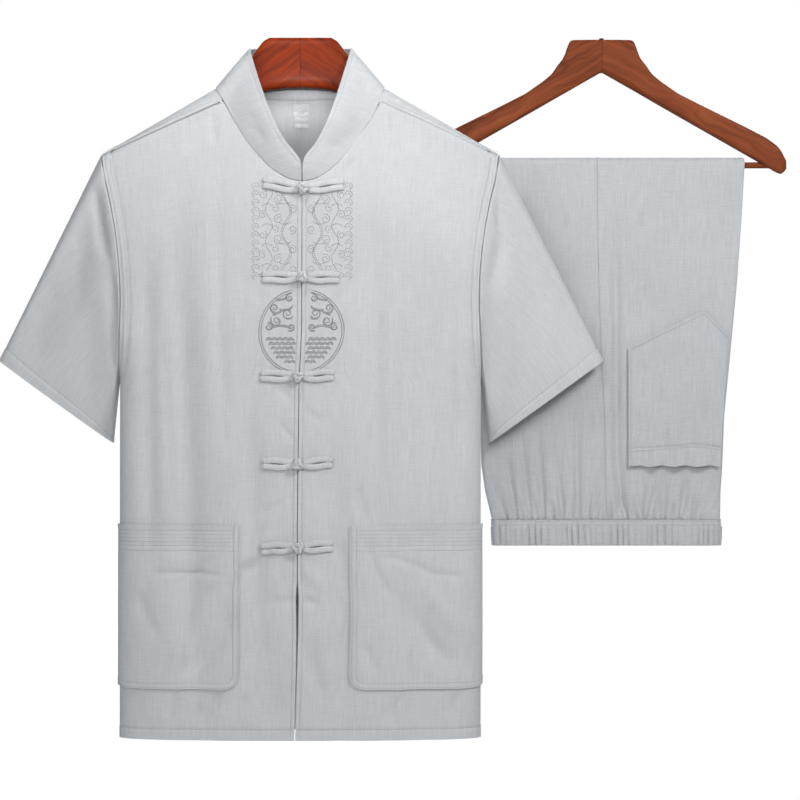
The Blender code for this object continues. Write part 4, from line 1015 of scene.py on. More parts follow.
def label_tape(top_z, bottom_z, half_width, inset):
    """A small tape on the inside of the back, made from the back's own points, moved inwards,
    with a soft curl at its foot."""
    heights, widths = np.linspace(bottom_z, top_z, 15), np.linspace(-half_width, half_width, 13)
    z, x = np.meshgrid(heights, widths, indexing="ij")
    curl = 0.0010 * np.cos((z - bottom_z) / (top_z - bottom_z) * 4.2) * np.exp(-((x / half_width) ** 2) * 0.6)
    return np.stack([x, rolled_depth(ridge_z(x) - z, BACK_DEPTH) - inset - 0.0006 - np.abs(curl), z], axis=-1)


# Frogs


def strap_run(frog, side):
    """How far a strap of a frog reaches from the knot, and how far it rises on the way."""
    name = "right" if side < 0 else "left"
    return frog[f"{name}_reach"], frog[f"{name}_rise"]


def frog_cords(frog, side):
    """One strap of a frog: two cords side by side that lie on the cloth, close in at the knot and
    turn under at the outer end."""
    reach, rise = strap_run(frog, side)
    share = np.linspace(0.0, 1.0, 40)
    start = FROG_KNOT_RADIUS * 0.72
    x = frog["x"] + side * (start + (reach - start) * share)
    z = frog["z"] + rise * share
    open_out = smooth_step(share * 3.2)
    shapes = []
    for up in (-1, 1):
        half = FROG_HEIGHT * 0.25 * (0.66 + 0.34 * open_out)
        wander = 0.0005 * np.sin(share * 9 + up + frog["z"] * 60)
        base, normals = on_front(x, z + up * half + wander)
        high = FROG_THICK / 2 * (1.0 - 0.15 * np.sin(share * 23 + up) ** 2)
        end = np.clip((share - 0.965) / 0.035, 0, 1)
        path = base + normals * (FROG_REST + high * (1 - 0.4 * end))[:, None]
        shapes.append(cord_along(path, normals, FROG_HEIGHT * 0.235, FROG_THICK * 0.52, 14))
    return shapes


def frog_stitching(frog, side):
    """The stitching of a strap: one row between the cords and one across the folded end."""
    reach, rise = strap_run(frog, side)
    share = np.linspace(0.34, 0.98, 24)
    x, z = frog["x"] + side * reach * share, frog["z"] + rise * share
    points, normals = on_front(x, z)
    between = stitches(points + normals * 0.0022, normals, 0.0026, (0.0019, 0.0006, 0.0003))
    z_across = frog["z"] + rise + np.linspace(-0.5, 0.5, 22) * FROG_HEIGHT * 0.9
    points, normals = on_front(frog["x"] + side * (reach - 0.0062), z_across)
    hump = 0.0012 + 0.0022 * np.abs(np.sin(np.linspace(-math.pi, math.pi, 22)))
    across = stitches(points + normals * hump[:, None], normals, 0.0022, (0.0018, 0.0006, 0.0003))
    return [between, across]


def frog_knot(frog):
    """The knot button: one cord woven round a ball, at longitude 2t and latitude sin(3t), over
    and under itself, with a core inside."""
    front, _ = on_front(np.array([frog["x"] - 0.004, frog["x"] + 0.004]), np.array([frog["z"]] * 2))
    centre = np.array([frog["x"], front[:, 1].min() - FROG_REST - FROG_KNOT_RADIUS * 0.86, frog["z"]])
    t = np.linspace(0.0, 2 * math.pi, 150)
    longitude, latitude = 2 * t + frog["z"] * 9, 0.95 * np.sin(3 * t + 0.6)
    radius = FROG_KNOT_RADIUS * (0.82 + 0.10 * np.cos(6 * t))
    way = np.stack([np.cos(latitude) * np.cos(longitude), -np.sin(latitude) * 0.86,
                    np.cos(latitude) * np.sin(longitude)], axis=-1)
    wide, high = FROG_KNOT_RADIUS * 0.36, FROG_KNOT_RADIUS * 0.28
    wrap = cord_along(centre + way * radius[:, None], unit(way), wide, high, 10)
    sides, rows = 20, 13
    across, up = np.meshgrid(np.linspace(0, 2 * math.pi, sides + 1)[:-1], np.linspace(-1.5, 1.5, rows))
    core = np.stack([np.cos(up) * np.cos(across), np.cos(up) * np.sin(across) * 0.86, np.sin(up)], axis=-1)
    core = centre + core * FROG_KNOT_RADIUS * 0.74
    caps = [np.arange(sides)[None, ::-1], ((rows - 1) * sides + np.arange(sides))[None]]
    return [wrap, (core.reshape(-1, 3), [grid_faces(rows, sides, True), *caps])]


# Embroidery, in millimetres from the front line, mirrored on both sides


def spiral(x, z, radius, turns, start, hand):
    """A curl: a circle whose radius shrinks evenly to a quarter."""
    t = np.linspace(0.0, 1.0, int(14 + 26 * turns))
    angle = math.radians(start) + hand * 2 * math.pi * turns * t
    shrinking = radius * (1 - 0.76 * t)
    return np.stack([x + shrinking * np.cos(angle), z + shrinking * np.sin(angle)], axis=-1)


def arc(x, z, radius, start, end, flat=1.0):
    """Part of a circle, or of an oval if flat isn't 1, in degrees."""
    angle = np.radians(np.linspace(start, end, 20))
    return np.stack([x + radius * np.cos(angle), z + radius * flat * np.sin(angle)], axis=-1)


def wave_line(x, z_from, z_to, swing, waves, phase=0.0):
    """A stem that swings evenly to both sides on its way down."""
    t = np.linspace(0.0, 1.0, 70)
    swung = x + swing * np.sin(2 * math.pi * (waves * t + phase))
    return np.stack([swung, z_from + (z_to - z_from) * t], axis=-1)


def scroll_block():
    """The upper block, one half: two swinging stems with curls to both sides and a border of
    small stacked clouds."""
    paths = [wave_line(17, -171, -288, 5.0, 2.5), wave_line(19, -171, -288, 5.0, 2.5, 0.02),
             wave_line(38, -174, -288, 4.0, 3.0, 0.5)]
    for row in range(5):
        z = -180 - 23 * row
        hand = 1 if row % 2 else -1
        paths.append(spiral(11, z, 5.2, 1.3, 60 * hand, hand))
        paths.append(spiral(27, z - 11, 5.8, 1.4, 180 - 60 * hand, -hand))
        paths.append(spiral(31, z + 1, 4.6, 1.2, 90 * hand, hand))
        paths.append(spiral(45, z - 6, 4.8, 1.3, 120, -hand))
        paths.append(arc(20, z - 12, 8.0, 200, 330, 0.6))
        paths.append(arc(40, z + 2, 6.5, 20, 160, 0.7))
    for row in range(12):
        z = -176 - 9.4 * row
        paths.append(arc(53.5, z, 4.2, -80, 200, 0.9))
        paths.append(arc(53.5, z - 1.0, 2.0, -40, 200, 0.9))
    return paths


# Clouds of the roundel: x, z, radius, start in degrees, then the hand of a curl or the end of a tail.
CLOUD_CURLS = (
    (16, -322, 6.5, 200, 1),
    (29, -331, 6.0, 20, -1),
    (31, -316, 5.0, 250, 1),
    (14, -305, 4.6, 100, -1),
    (38, -338, 4.4, 60, 1),
    (12, -338, 4.2, 300, -1),
)
CLOUD_TAILS = (
    (22, -310, 13, 200, 290),
    (24, -344, 14, 20, 150),
    (26, -300, 10, 190, 300),
    (18, -330, 18, 30, 80),
)


def roundel_half():
    """The lower roundel, one half: a double rim, overlapping scales at the foot, and clouds with
    long tails above them."""
    paths = [arc(0, -343, 49, -81, 81), arc(0, -343, 46.5, -80, 80)]
    for row in range(8):
        z = -390 + 5.2 * row
        for column in range(1, 8):
            x = 6.4 * column + (3.2 if row % 2 else 0.0) + 2
            if math.hypot(x, z + 343) < 41:
                paths.append(arc(x, z, 3.2, 0, 180, 1.15))
                paths.append(arc(x, z, 1.7, 0, 180, 1.15))
    for x, z, radius, start, hand in CLOUD_CURLS:
        paths.append(spiral(x, z, radius, 1.5, start, hand))
        paths.append(spiral(x, z, radius + 1.4, 0.8, start + 20, hand))
    for x, z, radius, start, end in CLOUD_TAILS:
        paths.append(arc(x, z, radius, start, end, 0.6))
        paths.append(arc(x, z - 1.6, radius, start + 8, end - 8, 0.6))
    return paths


def placed_on_front(path, side):
    """A flat path laid on the cloth's outer face on one side of the front line."""
    z = path[:, 1] * MM
    x = table_at(FRONT_LINE, "x", z) + side * np.maximum(path[:, 0], 6.5) * MM
    return on_front(x, z)


# Trousers


def gathers(x, z):
    """How far the near side's gathers and its long crease take the cloth in: fine ones that fade
    just above the waistband, and longer ones placed one by one, never deeper than a limit."""
    above = z - WAIST_SEAM_Z
    fine = 0.0015 * np.sin(2 * math.pi * (x / 0.0071 + 0.35 * np.sin(x * 130))) * np.exp(-above / 0.009)
    total = fine + 0.0004 * np.sin(2 * math.pi * x / 0.0123 + 1) * np.exp(-above / 0.020)
    for waist_x, top_x, top_z, half, depth in WAIST_FOLDS:
        rise = np.clip(above / (top_z * MM - WAIST_SEAM_Z), 0, 1.2)
        middle = (waist_x + (top_x - waist_x) * rise) * MM
        wide = half * MM * (0.66 + 1.3 * rise)
        fade = (1 - smooth_step(rise)) ** 0.8
        total = total + WAIST_FOLDS_DEEPER * depth * MM * np.exp(-(((x - middle) / wide) ** 2)) * fade
    total = GATHER_LIMIT * np.tanh(total / GATHER_LIMIT)
    crease_x = 0.3722 + 0.0055 * smooth_step((-0.46 - z) / 0.1)
    crease = 0.0046 * np.exp(-(((x - crease_x) / 0.0055) ** 2)) * smooth_step((-0.195 - z) / 0.11)
    ridge = -0.0012 * np.exp(-(((x - crease_x + 0.011) / 0.007) ** 2)) * smooth_step((-0.22 - z) / 0.12)
    soft = 0.0012 * np.exp(-(((x - 0.300 - 0.1 * (z + 0.3)) / 0.014) ** 2)) * smooth_step((-0.30 - z) / 0.1)
    soft = soft + 0.0010 * np.exp(-(((x - 0.452) / 0.020) ** 2)) * smooth_step((-0.20 - z) / 0.1)
    return total + (crease + ridge + soft) * smooth_step(above / 0.02)


def trouser_stations():
    """Places along the cloth from the waist seam up, over the bar and down to the leg hems:
    height, angle over the bar and whether it hangs behind."""
    near = WAIST_SEAM_Z + SEAM + (BAR_Z - WAIST_SEAM_Z - SEAM) * np.linspace(0.0, 1.0, 104) ** 1.5
    bend = np.linspace(0.0, math.pi, 15)[1:-1]
    far = steps_with_marks(TROUSER_HEM_Z, BAR_Z, 40, (TROUSER_HEM_Z + TROUSER_HEM_TURN,))[::-1]
    z = np.concatenate([near, np.full(len(bend), BAR_Z), far])
    angle = np.concatenate([np.zeros(len(near)), bend, np.full(len(far), math.pi)])
    behind = np.concatenate([np.zeros(len(near) + len(bend)), np.ones(len(far))]) > 0.5
    return z, angle, behind


def trouser_panel(near, right, columns):
    """One of the four panels: from the side seam out to the edge, round its fold and back along
    the inner layer to the inseam, and lengthwise over the bar. At the hips the inner layer is
    only the seam allowance."""
    z, angle, behind = (value[:, None] for value in trouser_stations())
    over = (angle > 0) & (angle < math.pi)
    way, face = (1 if right else -1), (1 if near else -1)
    side = "right" if right else "left"
    seam = np.where(behind, table_at(LEG_OUTLINE, "seam", z), table_at(TROUSER_OUTLINE, "seam", z))
    edge = np.where(behind, table_at(LEG_OUTLINE, side, z), table_at(TROUSER_OUTLINE, side, z))
    down = smooth_step((BAR_Z - z) / np.where(behind, 0.25, 0.30))
    half = LEG_HALF + (np.where(behind, HEM_HALF, HIP_HALF) - LEG_HALF) * down
    deep = (half - LAYER) / 2
    rounded = np.maximum(table_at(TROUSER_OUTLINE, f"{side}_round", z), deep) if near else deep * 1.2
    wide = np.where(behind | over, deep, rounded)
    legs = np.where(behind | over, 1.0, smooth_step((z - (CROTCH_Z - 0.095)) / 0.095))
    inner_end = seam * legs + (edge - way * (SEAM_ALLOWANCE + wide)) * (1 - legs) + way * PANEL_GAP / 2
    turn_x = edge - way * (wide + TROUSER_WALL / 2)
    share = np.linspace(0.0, 1.0, columns)[None]
    start = seam + way * PANEL_GAP / 8
    outer = start + (turn_x - start) * share
    turn = np.linspace(0.0, math.pi, 11)[None, 1:-1]
    bend_x = turn_x + way * wide * np.sin(turn)
    inner = turn_x + (inner_end - turn_x) * np.linspace(0.0, 1.0, 4)[None]
    round_layer = (half + LAYER) / 2 + deep * np.cos(turn)
    layer = np.concatenate([half + 0 * outer, round_layer, LAYER + 0 * inner], axis=1)
    x = np.concatenate([outer, bend_x, inner], axis=1)
    if near:
        fade = np.concatenate([smooth_step((1 - share) * 9), np.zeros((1, turn.size + 4))], axis=1)
        layer = layer - np.where(behind | over, 0.0, gathers(x, z)) * fade
        seam_ridge = np.exp(-((np.abs(x - start) / 0.0020) ** 2)) * (layer > LAYER * 2)
        layer = layer + 0.0004 * seam_ridge
    hem = np.where(behind, z - TROUSER_HEM_Z, 1.0)
    outside = layer > LAYER * 1.5
    layer = layer + (band(hem, TROUSER_HEM_TURN, 0.0004) + groove(hem, TROUSER_HEM_TURN, 0.0005)) * outside
    reach = BEND_RADIUS + (half - LEG_HALF) * ~over + face * layer
    y = BAR_Y - reach * np.cos(angle)
    lift = np.where(over, reach * np.sin(angle), 0.0)
    return np.stack([x, y, z + lift], axis=-1)


def waist_ring(spots, z):
    """The flattened ring of the waist at a height: two half ovals joined by straight runs, read
    at shares of its length, with its outward ways."""
    middle_y = BAR_Y - BEND_RADIUS - (HIP_HALF - LEG_HALF)
    t = np.linspace(0.0, math.pi, 40)
    arcs = []
    for side, way in (("right", 1), ("left", -1)):
        edge, rounded = table_at(TROUSER_OUTLINE, side, z), table_at(TROUSER_OUTLINE, f"{side}_round", z)
        x, y = edge - way * rounded * (1 - np.sin(t)), middle_y - way * HIP_HALF * np.cos(t)
        arcs.append(np.stack([x, y], axis=-1))
    path = np.concatenate([*arcs, arcs[0][:1]])
    along = lengths_along(path)
    at, ahead = (np.stack([np.interp(shares * along[-1], along, path[:, k]) for k in (0, 1)], axis=-1)
                 for shares in (spots, (spots + 0.001) % 1.0))
    way = ahead - at
    return at, unit(np.stack([way[:, 1], -way[:, 0]], axis=-1))


def waistband():
    """The elastic casing as closed rings: outside it is gathered into pleats of uneven width, with
    narrow furrows between them and two rows of shirring at the top, inside it is plain."""
    spots = np.arange(WAIST_GATHERS * 12) / (WAIST_GATHERS * 12)
    round_share = 2 * math.pi * spots
    turns = WAIST_GATHERS * spots + 0.20 * np.sin(7 * round_share) + 0.14 * np.sin(17 * round_share + 1)
    furrow = np.exp(-((np.sin(math.pi * turns) / 0.34) ** 2))
    uneven = 0.75 + 0.35 * np.sin(11 * round_share + 2)
    rings = []
    for share in np.concatenate([np.linspace(0.0, 0.34, 12), np.linspace(0.40, 1.0, 12)]):
        z = WAIST_SEAM_Z - SEAM / 2 + (WAIST_BOTTOM_Z - WAIST_SEAM_Z + SEAM / 2) * share
        at, outward = waist_ring(spots, z)
        below = WAIST_SEAM_Z - z
        plump = BAND_WALL * (0.24 + 0.30 * np.sqrt(math.sin(math.pi * min(0.08 + share * 0.86, 1.0))))
        pinch = 0.0007 * sum(math.exp(-(((below - row) / 0.0011) ** 2)) for row in SHIRRING_ROWS)
        strength = 0.35 + 0.65 * float(smooth_step((below - 0.006) / 0.005))
        lean = 0.0004 * np.sin(5 * round_share + below * 90)
        out = plump - pinch + strength * (lean + 0.0010 - 2 * GATHER_DEPTH * uneven * furrow)
        rings.append(np.column_stack([at + outward * out[:, None], np.full(len(at), z)]))
    for z in np.linspace(WAIST_BOTTOM_Z, WAIST_SEAM_Z - SEAM / 2, 4):
        at, outward = waist_ring(spots, z)
        rings.append(np.column_stack([at - outward * BAND_WALL / 2, np.full(len(at), z)]))
    return np.array(rings)


def back_pocket():
    """The trousers' patch pocket: its own outline over the near side, whose opening at the foot
    stands off in shallow waves, with a stitched hem band and doubled edges."""
    share = np.linspace(0.0, 1.0, 80)[None]
    rise = np.concatenate([[0.0, 0.02, 0.04], np.linspace(0.06, 0.97, 74), [0.985, 1.0]])[:, None]
    left_x, opening_z, width = (BACK_POCKET[name] for name in ("left_x", "opening_z", "top_width"))
    point = (BACK_POCKET["point_x"] - left_x) / width
    peak = np.interp(share, (0.0, point, 1.0), (0.0, 1.0, 0.35))
    top = BACK_POCKET["corner_z"] + (BACK_POCKET["point_z"] - BACK_POCKET["corner_z"]) * peak
    x = left_x + (BACK_POCKET["right_x"] - left_x) * share + BACK_POCKET["flare"] * share * rise
    z = opening_z + (top - opening_z) * rise
    half = LEG_HALF + (HIP_HALF - LEG_HALF) * smooth_step((BAR_Z - z) / 0.30)
    out = BAR_Y - BEND_RADIUS - (half - LEG_HALF) - half - TROUSER_WALL - SEAM - 0.0014
    from_edge = np.minimum(share * width, (top - z) * 0.85)
    from_opening = z - opening_z
    loose = np.exp(-from_opening / 0.016) * smooth_step(share * 7) * smooth_step((1.04 - share) * 9)
    lower_row, upper_row = OPENING_ROWS
    waves = 0.0026 + 0.0026 * np.sin(2 * math.pi * (3.9 * share + 0.1))
    waves = waves + 0.0006 * np.sin(2 * math.pi * 7.3 * share)
    relief = band(from_edge, 0.0022, 0.0006) + band(from_opening, upper_row, 0.0013)
    relief = relief + groove(from_opening, upper_row, 0.0009, 0.0014)
    relief = relief + groove(from_opening, lower_row, 0.0005, 0.0012)
    y = out - relief - loose * waves - 0.0006 * np.sin(x * 150) * smooth_step(from_opening / 0.05)
    return np.stack([x, y, z - 0.0010 * loose * np.sin(2 * math.pi * (3.9 * share + 0.35))], axis=-1)


# Hangers


def hanger(outline, x_middle, y_middle, z_top, soften, power, tip_power, sides=40):
    """A hanger as upright slices from tip to tip: each a rounded oblong between its top and
    bottom edge, both read from the outline and softened over a short run. A low power makes its
    face flat, and tip_power holds for the arms. Where no top is given, it follows the shoulders."""
    tops = [top if top is not None else float(ridge_z(x)) - JACKET_WALL / 2 - HANGER_CLEAR
            for x, top in zip(outline["x"], outline["top"])]
    end = outline["x"][-1]
    x = np.unique(np.concatenate([np.linspace(-end, end, 170), np.linspace(-0.05, 0.05, 70)]))
    shifts = np.linspace(-soften, soften, 7)
    top, bottom, deep = (
        np.mean([np.interp(np.abs(x + s), outline["x"], values) for s in shifts], axis=0)
        for values in (tops, outline["bottom"], outline["half"])
    )
    turn = (np.arange(sides) + 0.5) / sides * 2 * math.pi
    power = power + (tip_power - power) * smooth_step((np.abs(x)[:, None] - 0.055) / 0.020)
    limit = math.cos(turn[0]) ** power
    across = np.sign(np.cos(turn)) * np.abs(np.cos(turn)) ** power / limit
    up = np.sign(np.sin(turn)) * np.abs(np.sin(turn)) ** power / limit
    y = y_middle + deep[:, None] * across
    z = z_top + ((top + bottom) / 2)[:, None] + ((top - bottom) / 2)[:, None] * up
    rings = np.stack([x_middle + x[:, None] + 0 * y, y, z], axis=-1)
    count = len(x)
    caps = [np.arange(sides)[None], ((count - 1) * sides + np.arange(sides)[::-1])[None]]
    return rings.reshape(-1, 3), [grid_faces(count, sides, True)[:, ::-1], *caps]


def turned(profile, middle, axis, sides=28):
    """A turned shape: a profile of (along, radius) carried round an axis through middle."""
    along, radius = np.array(profile).T
    turn = np.arange(sides) / sides * 2 * math.pi
    rings = np.zeros((len(along), sides, 3))
    first, second = [k for k in range(3) if k != axis]
    rings[..., axis] = middle[axis] + along[:, None]
    rings[..., first] = middle[first] + radius[:, None] * np.cos(turn)
    rings[..., second] = middle[second] + radius[:, None] * np.sin(turn)
    faces = grid_faces(len(along), sides, True)
    caps = [np.arange(sides)[None, ::-1], ((len(along) - 1) * sides + np.arange(sides))[None]]
    if axis == 1:
        faces, caps = faces[:, ::-1], [cap[:, ::-1] for cap in caps]
    return rings.reshape(-1, 3), [faces, *caps]


# Finishes


def screen_colour(red, green, blue):
    """A colour as it shows on a screen, 0 to 255, as linear light."""
    share = np.array([red, green, blue]) / 255
    linear = np.where(share <= 0.04045, share / 12.92, ((share + 0.055) / 1.055) ** 2.4)
    return (*linear.tolist(), 1.0)


class Value:
    """A number that varies over a surface, so that formulas on it read as plain Python."""

    def __init__(self, finish, socket):
        self.finish = finish
        self.socket = socket

    def joined(self, operation, *others):
        """The result of one Math node on this value and others."""
        made = self.finish.node("ShaderNodeMath", {"operation": operation}, dict(enumerate((self, *others))))
        return Value(self.finish, made.outputs[0])

    def __add__(self, other):
        return self.joined("ADD", other)

    def __mul__(self, other):
        return self.joined("MULTIPLY", other)

    def __sub__(self, other):
        return self.joined("SUBTRACT", other)

    def __neg__(self):
        return self * -1.0

    def __rsub__(self, other):
        return -self + other

    __radd__ = __add__
    __rmul__ = __mul__

    def size(self):
        """Without its sign."""
        return self.joined("ABSOLUTE")

    def sine(self):
        """The sine of it."""
        return self.joined("SINE")

    def below(self, limit, soft):
        """1 where it is under a limit, 0 over it, with a soft step between."""
        return (limit - self).joined("DIVIDE", soft).joined("MAXIMUM", 0.0).joined("MINIMUM", 1.0)


class Finish:
    """A material and the nodes that make its pattern."""

    def __init__(self, name, roughness, **constants):
        self.material = bpy.data.materials.new(name)
        self.material.use_nodes = True
        self.nodes = self.material.node_tree.nodes
        self.shader = self.nodes["Principled BSDF"]
        self.shader.inputs["Roughness"].default_value = roughness
        for socket, value in constants.items():
            self.shader.inputs[socket.replace("_", " ")].default_value = value

    def node(self, kind, settings=None, inputs=None):
        """A node of a type with its settings, then the values or links of its inputs."""
        made = self.nodes.new(kind)
        for key, value in (settings or {}).items():
            setattr(made, key, value)
        for key, value in (inputs or {}).items():
            self.feed(made.inputs[key], value)
        return made

    def feed(self, socket, value):
        """Gives a socket a number, a colour or a link."""
        if isinstance(value, Value):
            value = value.socket
        if isinstance(value, bpy.types.NodeSocket):
            self.material.node_tree.links.new(value, socket)
        else:
            socket.default_value = value

    def place(self, uv):
        """The place on the surface as three values: the cloth's own lengths, or the object's."""
        if uv:
            found = self.node("ShaderNodeUVMap", {"uv_map": "cloth"}).outputs[0]
        else:
            found = self.node("ShaderNodeTexCoord").outputs["Object"]
        split = self.node("ShaderNodeSeparateXYZ", None, {0: found})
        return tuple(Value(self, output) for output in split.outputs)

    def noise(self, x, y, z=0.0, detail=2.0):
        """Noise from -0.5 to 0.5 at a scaled place."""
        spot = self.node("ShaderNodeCombineXYZ", None, {0: x, 1: y, 2: z})
        inputs = {"Vector": spot.outputs[0], "Scale": 1.0, "Detail": detail}
        made = self.node("ShaderNodeTexNoise", None, inputs)
        return Value(self, made.outputs[0]) - 0.5

    def mix(self, factor, first, second):
        """One colour into another by a factor."""
        made = self.node("ShaderNodeMix", {"data_type": "RGBA"}, {0: factor, 6: first, 7: second})
        return made.outputs[2]

    def colour(self, value):
        """Sets the colour of the surface."""
        self.feed(self.shader.inputs["Base Color"], value)

    def roughness(self, value):
        """Sets how rough the surface is."""
        self.feed(self.shader.inputs["Roughness"], value)

    def bump(self, height, distance, strength=1.0):
        """Fine relief: height times distance, in metres."""
        inputs = {"Strength": strength, "Distance": distance, "Height": height}
        made = self.node("ShaderNodeBump", None, inputs)
        self.feed(self.shader.inputs["Normal"], made.outputs[0])


def slubbed_cloth(name, pale, deep, uv=True):
    """Plain-weave cloth with slubs: two sets of crossed yarns 0.55 mm apart, uneven thick threads
    both ways that show as faint streaks, and soft clouding."""
    finish = Finish(name, 0.88, Sheen_Weight=0.12, Sheen_Roughness=0.5, Specular_IOR_Level=0.25)
    across, along, up = finish.place(uv)
    if not uv:
        along = up
    warp = finish.noise(across * 900.0, along * 38.0, 1.0)
    weft = finish.noise(across * 38.0, along * 900.0, 5.0)
    broad_warp = finish.noise(across * 240.0, along * 16.0, 3.0, 1.0)
    grain = finish.noise(across * 900.0, along * 900.0, 9.0, 2.0)
    clouds = finish.noise(across * 14.0, along * 14.0, 2.0, 3.0)
    yarns = (across * (2 * math.pi / 0.00055)).sine() * (along * (2 * math.pi / 0.00055)).sine()
    tone = 0.5 + warp * 0.8 + weft * 0.6 + broad_warp * 0.25 + grain * 1.2 + clouds * 0.3 + yarns * 0.10
    finish.colour(finish.mix(tone.joined("MAXIMUM", 0.0).joined("MINIMUM", 1.0), deep, pale))
    finish.roughness(0.88 + warp * 0.10)
    finish.bump(warp * 0.9 + weft * 0.7 + grain * 0.8 + yarns * 0.22, 0.00016)
    return finish.material


def thread(name, tint, roughness):
    """Sewing thread: a fine twist along and across the object."""
    finish = Finish(name, roughness, Sheen_Weight=0.1)
    x, _, z = finish.place(False)
    twist = finish.noise(x * 1800.0, z * 1800.0, 2.0)
    finish.colour(finish.mix(0.5 + twist, tint, tuple(min(c * 1.25, 1.0) for c in tint)))
    finish.bump(twist, 0.0001)
    return finish.material


def satin_tape(name):
    """Blank satin tape: bright, with close ribs across and a soft shine."""
    finish = Finish(name, 0.32, Sheen_Weight=0.2)
    x, y, z = finish.place(False)
    ribs = (z * (2 * math.pi / 0.0007)).sine()
    cloud = finish.noise(x * 160.0, z * 220.0, 1.0)
    finish.colour(finish.mix(0.5 + cloud * 1.2, screen_colour(190, 192, 195), screen_colour(240, 241, 242)))
    finish.bump(ribs * 0.5 + cloud * 2.0, 0.0002)
    return finish.material


def streaked_wood(name, x_middle, slope, pale, deep, dark, roughness, coat, streak):
    """Varnished wood glued from two halves: grain along both arms in a shallow V, mirrored at the
    glue line, with long dark streaks and fine pores."""
    finish = Finish(name, roughness, Coat_Weight=coat, Coat_Roughness=0.2, Specular_IOR_Level=0.08)
    x, y, z = finish.place(False)
    side = (x - x_middle).size()
    along = side * math.cos(slope) - z * math.sin(slope)
    across = side * math.sin(slope) + z * math.cos(slope)
    half = (x - x_middle).below(0.0, 0.0002)
    warp = finish.noise(along * 18.0, across * 30.0, half * 3.0, 2.0)
    grain = finish.noise(along * 9.0, across * 230.0 + warp * 5.0, y * 200.0 + half * 7.0, 4.0)
    pores = finish.noise(along * 60.0, across * 1500.0, y * 900.0, 2.0)
    broad = finish.noise(along * 7.0, across * 55.0 + warp * 3.0, y * 40.0 + half * 5.0, 3.0)
    body = finish.mix(0.5 + grain * 1.5 + broad * 1.3, deep, pale)
    streaks = (broad + grain * 0.5).below(-0.13, 0.10) * streak
    glue = side.below(0.00045, 0.0002) * 0.75
    body = finish.mix(streaks, body, dark)
    body = finish.mix(glue, body, dark)
    finish.colour(body)
    finish.roughness(roughness + pores * 0.12 + grain * 0.08)
    finish.bump(pores * 0.3 + grain * 0.6, 0.00015, 0.5)
    return finish.material


def blackened_metal(name):
    """Dark plated metal with fine scratches."""
    finish = Finish(name, 0.35, Metallic=1.0)
    x, y, z = finish.place(False)
    wear = finish.noise(x * 900.0, y * 900.0, z * 300.0, 3.0)
    finish.colour(finish.mix(0.5 + wear, screen_colour(48, 46, 46), screen_colour(96, 92, 90)))
    finish.roughness(0.35 + wear * 0.2)
    finish.bump(wear, 0.00005)
    return finish.material


def floor_paper(name):
    """Pale matt paper for the floor."""
    finish = Finish(name, 0.9)
    x, y, _ = finish.place(False)
    clouds = finish.noise(x * 3.0, y * 3.0)
    finish.colour(finish.mix(0.5 + clouds, screen_colour(236, 236, 236), screen_colour(242, 242, 242)))
    return finish.material


# Making the uniform


def make_jacket(cloth, sewing):
    """Fronts, back, sleeves, collar and pockets with their stitching."""
    rows = []
    for name, side in (("right", -1), ("left", 1)):
        panel = front_panel(side)
        make_cloth(f"{name}_front_cloth", panel, cloth, JACKET_WALL, [f"{name}_front"],
                   {"held": "hung", "rests_on": ["back"]})
        rows += front_stitching(side)
        rings, normals, share = sleeve(side, name)
        make_cloth(f"{name}_sleeve_cloth", rings, cloth, JACKET_WALL, [f"{name}_sleeve"],
                   {"held": "hung", "rests_on": ["back"]}, around=True)
        row = int(np.argmin(np.abs(share - (1 - CUFF_TURN / SLEEVE_LENGTH))))
        outside = rings[row] + normals[row] * JACKET_WALL / 2
        closed = [np.concatenate([ring, ring[:1]]) for ring in (outside, normals[row])]
        rows.append(stitches(*closed, STITCH_PITCH, JACKET_STITCH))
        pocket, inner_u, length = pocket_grid(side, name)
        make_cloth(f"{name}_pocket_cloth", pocket, cloth, JACKET_WALL, [f"{name}_pocket"],
                   {"held": "hung", "rests_on": [f"{name}_front"]})
        rows += pocket_stitching(side, inner_u, length)
    points, normals = back_panel()
    make_cloth("back_cloth", points, cloth, JACKET_WALL, ["back"],
               {"held": "hung", "rests_on": ["jacket_hanger"]})
    rows += back_stitching(points, normals)
    points, normals = collar_band()
    make_cloth("collar_cloth", points, cloth, COLLAR_WALL, ["collar"], {"held": "hung", "rests_on": ["back"]})
    rows.append(collar_stitching(points, normals))
    make_joined("jacket_stitching", rows, sewing)


def surface_row(side, u, z, pocket=False):
    """Stitches along shares and heights on a front or on its pocket."""
    u, z = np.broadcast_arrays(u, z)
    if pocket:
        points, normals = pocket_surface(side, u, z)
    else:
        points, normals = front_surface(side, u, z), front_normals(side, u, z)
    return stitches(points + normals * (JACKET_WALL / 2 + STITCH_RISE), normals, STITCH_PITCH, JACKET_STITCH)


def front_stitching(side):
    """Rows along a front's edge, its hem and its armhole band."""
    z = np.linspace(HEM_Z + 0.004, NECK_FRONT_Z - 0.004, 260)
    length = np.interp(z, SECTION_Z, FRONT["length"])
    rows = [surface_row(side, EDGE_ROW / length, z)]
    rows.append(surface_row(side, np.linspace(0.004, 0.996, 160), HEM_Z + HEM_TURN))
    z = np.linspace(UNDERARM_Z + 0.020, SEAM_TIP_Z - 0.004, 120)
    length = np.interp(z, SECTION_Z, FRONT["length"])
    return rows + [surface_row(side, 1 - inset / length, z) for inset in ARMHOLE_ROWS]


def pocket_stitching(side, inner_u, length):
    """Two rows round a pocket's edge and the rows of top stitching under its opening."""
    rows = []
    for inset in POCKET_EDGE_ROWS:
        u, z = pocket_seam_path(inner_u, length, inset)
        rows.append(surface_row(side, u, z, pocket=True))
    for at in POCKET_ROWS_Z:
        rows.append(surface_row(side, np.linspace(inner_u + 0.004, 0.984, 90), at, pocket=True))
    return rows


